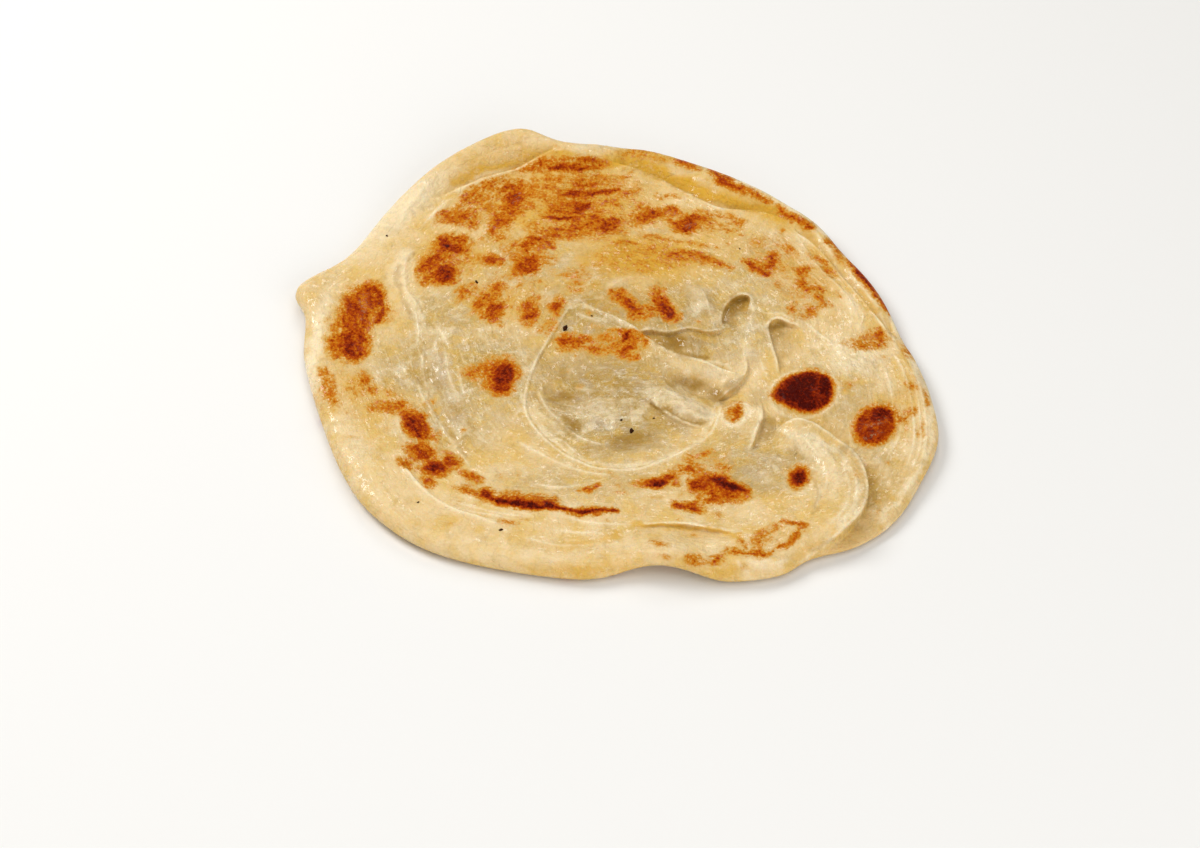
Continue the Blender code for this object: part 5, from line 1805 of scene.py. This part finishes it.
def plain_dough(finish, patterns):
    """The colour of dough where it isn't browned: smooth and creamy outside, mottled and moist within."""
    patches = finish.noise(PATCH_SIZE, detail=3.0, roughness=0.55)
    other_patches = finish.noise(OTHER_PATCH_SIZE, detail=4.0, roughness=0.6, distortion=0.4)
    grain = finish.noise(GRAIN_SIZE, detail=2.0)
    moist = finish.read("grey")
    mottled = finish.math("MULTIPLY_ADD", moist, MOTTLED_MOIST, MOTTLED_DRY)
    dough = finish.mix(moist, CREAM, MOIST)
    dough = finish.mix(finish.remap(patches, 0.46, 0.62, 0.0, 0.62), dough, BUTTERY)
    greyed = finish.math("MULTIPLY", finish.remap(other_patches, 0.48, 0.64, 0.0, 0.85), moist)
    dough = finish.mix(greyed, dough, GREYED)
    dough = finish.mix(finish.read("ash"), dough, ASHEN)
    # painted highlight on crests, lips and rims, from the pale map
    dough = finish.mix(finish.math("MULTIPLY", finish.read("pale"), 0.8), dough, PALE)
    for pattern, low, high, strength, colour in (
        (finish.math("SUBTRACT", 1.0, other_patches), 0.48, 0.66, 0.62, BLOTCH),
        (finish.math("SUBTRACT", 1.0, patches), 0.54, 0.66, 0.50, PALE),
        (patterns.streaks, 0.52, 0.70, 0.46, FLECK),
        (finish.math("SUBTRACT", 1.0, patterns.streaks), 0.54, 0.72, 0.45, BLOTCH),
        (patterns.veins, 0.0, 1.0, 0.32, FLECK),
        (patterns.bubbly, 0.70, 0.95, 0.30, FLECK),
        (patterns.fine, 0.50, 0.72, 0.34, BLOTCH),
        (grain, 0.54, 0.68, 0.34, FLECK),
    ):
        share = finish.math("MULTIPLY", finish.remap(pattern, low, high, 0.0, strength), mottled)
        dough = finish.mix(share, dough, colour)
    # painted shade: deep gold where the gold map says, then darker where the shade map says
    dough = finish.mix(finish.math("MULTIPLY", finish.read("gold"), 0.92), dough, GOLDEN)
    return finish.mix(finish.read("shade"), dough, SHADED)


# %% [markdown]
# ## Breaking up the browning
#
# The browning map is soft. Two noises eat into it: a coarse one, with the streaks, that makes islands and
# inlets at the rims of the marks, and a fine one that leaves pale grains inside the brown, as the dry skin of
# the dough does. Fresh dough takes almost none of either, or it would look sandy.

# %% Broken browning
GRAIN_VEIN_SIZE = 2.4
ISLANDS = 0.85
STREAKED_RIMS = 0.45
GRAIN_VEINS = 0.07


def broken_browning(finish, toast, patterns):
    """The browning map with ragged rims and pale grain."""
    unrest = finish.math("SUBTRACT", 1.0, finish.read("calm"))
    broken = finish.math("MULTIPLY", finish.math("SUBTRACT", patterns.coarse, 0.5), ISLANDS)
    streaked = finish.math("SUBTRACT", patterns.streaks, 0.5)
    broken = finish.math("MULTIPLY_ADD", streaked, STREAKED_RIMS, broken)
    broken = finish.math("MULTIPLY", broken, unrest)
    grain = finish.math("SUBTRACT", patterns.fine, 0.5)
    grain = finish.math("MULTIPLY_ADD", finish.veins(GRAIN_VEIN_SIZE), GRAIN_VEINS, grain)
    uneven = finish.math("MULTIPLY_ADD", broken, finish.remap(toast, 0.02, 0.34), toast)
    grainy = finish.remap(uneven, 0.06, 0.40, 0.06, 1.0)
    return finish.math("MULTIPLY_ADD", grain, grainy, uneven, clamp=True)


# %% [markdown]
# ## Wrinkles and oil
#
# The mesh holds every form larger than a millimetre. What is smaller comes from bump: wrinkles, streaks,
# bubbles and a crust that is rough only where it is brown. The oil lies on top as a coat with a smoother
# bump of its own, so its small glints don't follow every grain. It shows in patches, and hardly at all on
# brown crust, which has soaked it up.

# %% Relief and oil
BUMP_DEPTH = 1.0
WRINKLE_SIZE = 2.6
CRUST_SIZE = 0.8
FILM_DEPTH = 0.4
FILM_SIZE = 1.5
FILM_STRETCH = 3.0
OIL_SIZE = 1.4


def surface_relief(finish, uneven, patterns):
    """The height of the small forms, in shares of BUMP_DEPTH."""
    wrinkle = finish.noise(WRINKLE_SIZE, detail=3.0, roughness=0.5, distortion=0.6)
    crust = finish.math("MULTIPLY", finish.noise(CRUST_SIZE, detail=3.0), uneven)
    relief = finish.math("MULTIPLY", wrinkle, 0.60)
    for pattern, share in ((patterns.streaks, 0.36), (patterns.veins, 0.06), (patterns.fine, 0.20),
                           (patterns.bubbly, 0.16), (crust, 0.40)):
        relief = finish.math("MULTIPLY_ADD", pattern, share, relief)
    return relief


def oil_film(finish, toast):
    """Feeds the coat: patches of oil with their own gentle waves."""
    film = finish.noise(FILM_SIZE, detail=1.5, places=finish.flow(FILM_STRETCH))
    finish.join(finish.bump(film, FILM_DEPTH), finish.shader.inputs["Coat Normal"])
    oil = finish.noise(OIL_SIZE, detail=3.0, roughness=0.7)
    on_dough = finish.remap(toast, 0.10, 0.45, 1.0, 0.06)
    oiled = finish.math("MULTIPLY", finish.remap(oil, 0.50, 0.60), on_dough)
    finish.join(oiled, finish.shader.inputs["Coat Weight"])
    finish.shader.inputs["Coat Roughness"].default_value = OIL_ROUGHNESS


# %% [markdown]
# ## The whole finish
#
# Everything comes together in one material. The browning covers the plain dough, peeled skin and painted
# glints cover the browning, and the dough's own shine is uneven, since it is dry in some places and fatty in
# others.

# %% Dough material
GLOSS_SIZE = 5.0
LEAST_ROUGH = 0.28
MOST_ROUGH = 0.44


def dough_finish():
    """Fried dough: browned where the map says so, with streaks, bubbles and a film of oil."""
    finish = Finish("fried_dough")
    toast = finish.read("toast")
    patterns = dough_patterns(finish)
    uneven = broken_browning(finish, toast, patterns)

    browning = finish.ramp(uneven, TOAST_STEPS)
    dough = plain_dough(finish, patterns)
    colour = finish.mix(finish.remap(uneven, 0.05, 0.30), dough, browning)
    # peeled skin, and painted glints on the second blister
    peeled = finish.math("MULTIPLY", finish.remap(patterns.fine, 0.48, 0.62), finish.read("skin"))
    colour = finish.mix(peeled, colour, PEELED_SKIN_AND_GLINT)
    finish.join(colour, finish.shader.inputs["Base Color"])

    gloss = finish.noise(GLOSS_SIZE, detail=3.0)
    roughness = finish.remap(gloss, 0.30, 0.70, LEAST_ROUGH, MOST_ROUGH)
    finish.join(roughness, finish.shader.inputs["Roughness"])
    relief = surface_relief(finish, uneven, patterns)
    finish.join(finish.bump(relief, BUMP_DEPTH), finish.shader.inputs["Normal"])
    oil_film(finish, toast)

    finish.shader.inputs["Subsurface Weight"].default_value = SCATTER_WEIGHT
    finish.shader.inputs["Subsurface Radius"].default_value = SCATTER_RADIUS
    finish.shader.inputs["Subsurface Scale"].default_value = SCATTER_SCALE
    finish.shader.inputs["Specular IOR Level"].default_value = SPECULAR_LEVEL
    return finish.material


bread.data.materials.append(dough_finish())
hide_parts("paratha")
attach(bread, "root")
print("nodes of the finish:", len(bread.data.materials[0].node_tree.nodes))

# %% [markdown]
# ## Burnt specks
#
# A few black crumbs stick to the dough. Each is a small squashed lump with an uneven waist, bedded into the
# surface: rings of points between a top and a bottom point. They are one mesh, since they are one kind of
# thing.

# %% Speck values
Speck = namedtuple("Speck", "x y length width turn")
SPECKS = [
    Speck(-14.5, 5.4, 2.5, 1.3, 72), Speck(3.1, -33.6, 2.3, 1.3, 88), Speck(0.5, -29.6, 0.9, 0.7, 60),
    Speck(9, -29, 0.7, 0.5, 0), Speck(-64.5, 43, 0.9, 0.6, 120), Speck(-39, 24, 1.4, 0.8, 110),
    Speck(-30, -68.8, 1.2, 0.7, 20), Speck(-51.3, -59.3, 0.8, 0.5, 40), Speck(33.7, 37.6, 0.7, 0.4, 80),
    Speck(-7.3, 10.2, 0.8, 0.5, 140),
]
SPECK_ROUNDS = 6
SPECK_SIDES = 9
SPECK_FLATNESS = 0.28
SPECK_RAISED = 0.05
SPECK_UNEVEN = (0.6, 1.25)
CRUMB_DARK = (0.020, 0.007, 0.003)
CRUMB_LIGHT = (0.060, 0.018, 0.005)
CRUMB_GRAIN_SIZE = 0.4
print("specks:", len(SPECKS))


# %% Specks
def speck_corners(speck, x, y, z, draw):
    """The rings of one speck from the top down, then its top and its bottom point."""
    turn = math.radians(speck.turn)
    corners = []
    for ring in range(1, SPECK_ROUNDS):
        lean = math.pi * ring / SPECK_ROUNDS
        for side in range(SPECK_SIDES):
            around = 2 * math.pi * side / SPECK_SIDES
            uneven = draw.uniform(*SPECK_UNEVEN)
            along = 0.5 * speck.length * math.sin(lean) * math.cos(around) * uneven
            across = 0.5 * speck.width * math.sin(lean) * math.sin(around) * uneven
            corners.append((
                x + along * math.cos(turn) - across * math.sin(turn) - plan_middle[0],
                y + along * math.sin(turn) + across * math.cos(turn) - plan_middle[1],
                z + SPECK_FLATNESS * speck.width * math.cos(lean) + SPECK_RAISED,
            ))
    for height in (SPECK_FLATNESS, -SPECK_FLATNESS):
        corners.append((x - plan_middle[0], y - plan_middle[1], z + height * speck.width + SPECK_RAISED))
    return corners


def speck_faces(first):
    """The faces of one speck, whose corners start at the given number."""
    last_ring = first + (SPECK_ROUNDS - 2) * SPECK_SIDES
    top = last_ring + SPECK_SIDES
    bottom = top + 1
    faces = []
    for side in range(SPECK_SIDES):
        after = (side + 1) % SPECK_SIDES
        for row in range(first, last_ring, SPECK_SIDES):
            faces.append((row + side, row + SPECK_SIDES + side, row + SPECK_SIDES + after, row + after))
        faces.append((top, first + side, first + after))
        faces.append((bottom, last_ring + after, last_ring + side))
    return faces


def build_specks():
    """All specks, each set down where the camera sees it on the bread."""
    draw = np.random.default_rng(DOUGH_SEED)
    spots = np.array([(speck.x, speck.y) for speck in SPECKS], float)
    spots[:, 1] -= upper_face(spots).height - SURFACE_HEIGHT
    ground = upper_face(spots).height
    corners = []
    faces = []
    for speck, (x, y), z in zip(SPECKS, spots, ground):
        faces += speck_faces(len(corners))
        corners += speck_corners(speck, x, y, z, draw)
    return new_piece("burnt_specks", corners, faces)


def speck_finish():
    """Charred crumb: nearly black, dull and slightly uneven."""
    finish = Finish("burnt_crumb")
    shade = finish.noise(CRUMB_GRAIN_SIZE, detail=2.0)
    colour = finish.mix(finish.remap(shade, 0.35, 0.7), CRUMB_DARK, CRUMB_LIGHT)
    finish.join(colour, finish.shader.inputs["Base Color"])
    finish.shader.inputs["Roughness"].default_value = 0.6
    finish.shader.inputs["Specular IOR Level"].default_value = 0.02
    return finish.material


specks = build_specks()
specks.data.materials.append(speck_finish())
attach(specks, "root")
print("faces of the specks:", len(specks.data.polygons))

# %% [markdown]
# ## The floor
#
# The floor is plain and pale, so that nothing in it draws the eye. It lies a hair below the bread's flat
# underside: two faces at one height would flicker into each other.

# %% Floor
FLOOR_HALF = 3.0
FLOOR_LEVEL = -0.00003
floor_mesh = bpy.data.meshes.new("floor")
floor_corners = [(-FLOOR_HALF, -FLOOR_HALF), (FLOOR_HALF, -FLOOR_HALF), (FLOOR_HALF, FLOOR_HALF),
                 (-FLOOR_HALF, FLOOR_HALF)]
floor_mesh.from_pydata([(x, y, FLOOR_LEVEL) for x, y in floor_corners], [], [(0, 1, 2, 3)])
floor = bpy.data.objects.new("floor", floor_mesh)
bpy.context.collection.objects.link(floor)
floor_paint = Finish("floor_paint")
floor_paint.shader.inputs["Base Color"].default_value = (0.86, 0.86, 0.85, 1.0)
floor_paint.shader.inputs["Roughness"].default_value = 0.7
floor.data.materials.append(floor_paint.material)
print("floor, mm below the bread:", round(-FLOOR_LEVEL / MM, 3))

# %% [markdown]
# ## Light
#
# One large soft light stands behind and to the left, which rakes over the folds. Weaker ones fill the top and
# the front, one low in front lights the rim, and one behind, opposite the camera, puts glints on the oil. A
# plain sky softens every shadow.

# %% Lights and sky
Lamp = namedtuple("Lamp", "name place size watts colour")
LAMPS = [
    Lamp("key_light", (-0.75, 0.40, 0.80), 0.62, 8.8, (1.0, 0.98, 0.95)),
    Lamp("top_fill", (0.10, -0.30, 1.10), 0.90, 3.5, (1.0, 0.99, 0.97)),
    Lamp("front_fill", (0.60, -0.70, 0.45), 0.80, 2.9, (1.0, 0.98, 0.96)),
    Lamp("rim_fill", (0.12, -1.05, 0.26), 0.70, 2.6, (1.0, 0.98, 0.96)),
    Lamp("back_glint", (0.10, 0.84, 0.82), 0.42, 1.9, (1.0, 0.96, 0.88)),
]
LAMPS_AIM = (0, 0, 0)
SKY_STRENGTH = 0.22

for lamp in LAMPS:
    data = bpy.data.lights.new(lamp.name, "AREA")
    data.shape = "DISK"
    data.size = lamp.size
    data.energy = lamp.watts
    data.color = lamp.colour
    light = bpy.data.objects.new(lamp.name, data)
    light.location = lamp.place
    light.rotation_euler = (Vector(LAMPS_AIM) - Vector(lamp.place)).to_track_quat("-Z", "Y").to_euler()
    bpy.context.collection.objects.link(light)

sky = bpy.data.worlds.new("plain_sky")
sky.use_nodes = True
sky.node_tree.nodes["Background"].inputs["Color"].default_value = (1.0, 1.0, 1.0, 1.0)
sky.node_tree.nodes["Background"].inputs["Strength"].default_value = SKY_STRENGTH
bpy.context.scene.world = sky
bpy.context.scene.view_settings.view_transform = "Standard"
print("lights:", len(LAMPS))

# %% [markdown]
# ## The camera
#
# The values from the first cells are turned into a place and a direction: back along the line of sight, then
# aside by as much as the chosen pixel lies off the picture's middle.

# %% Set the camera
camera_data = bpy.data.cameras.new("camera")
camera_data.sensor_width = SENSOR_WIDTH
camera_data.lens = LENS
camera = bpy.data.objects.new("camera", camera_data)
bpy.context.collection.objects.link(camera)
ahead = Vector((0, math.cos(LOOKING_DOWN), -math.sin(LOOKING_DOWN)))
right = Vector((1, 0, 0))
up = right.cross(ahead)
seen_point = Vector((-plan_middle[0], -plan_middle[1], SURFACE_HEIGHT)) * MM
aside = (BREAD_AT_PIXEL[0] - PICTURE_WIDTH / 2) / FOCAL_PIXELS * CAMERA_DISTANCE
above = (PICTURE_HEIGHT / 2 - BREAD_AT_PIXEL[1]) / FOCAL_PIXELS * CAMERA_DISTANCE
place = seen_point - ahead * CAMERA_DISTANCE - right * aside - up * above
camera.matrix_world = Matrix.Translation(place) @ Matrix((right, up, -ahead)).transposed().to_4x4()
bpy.context.scene.camera = camera
print("camera at", [round(value, 3) for value in place])
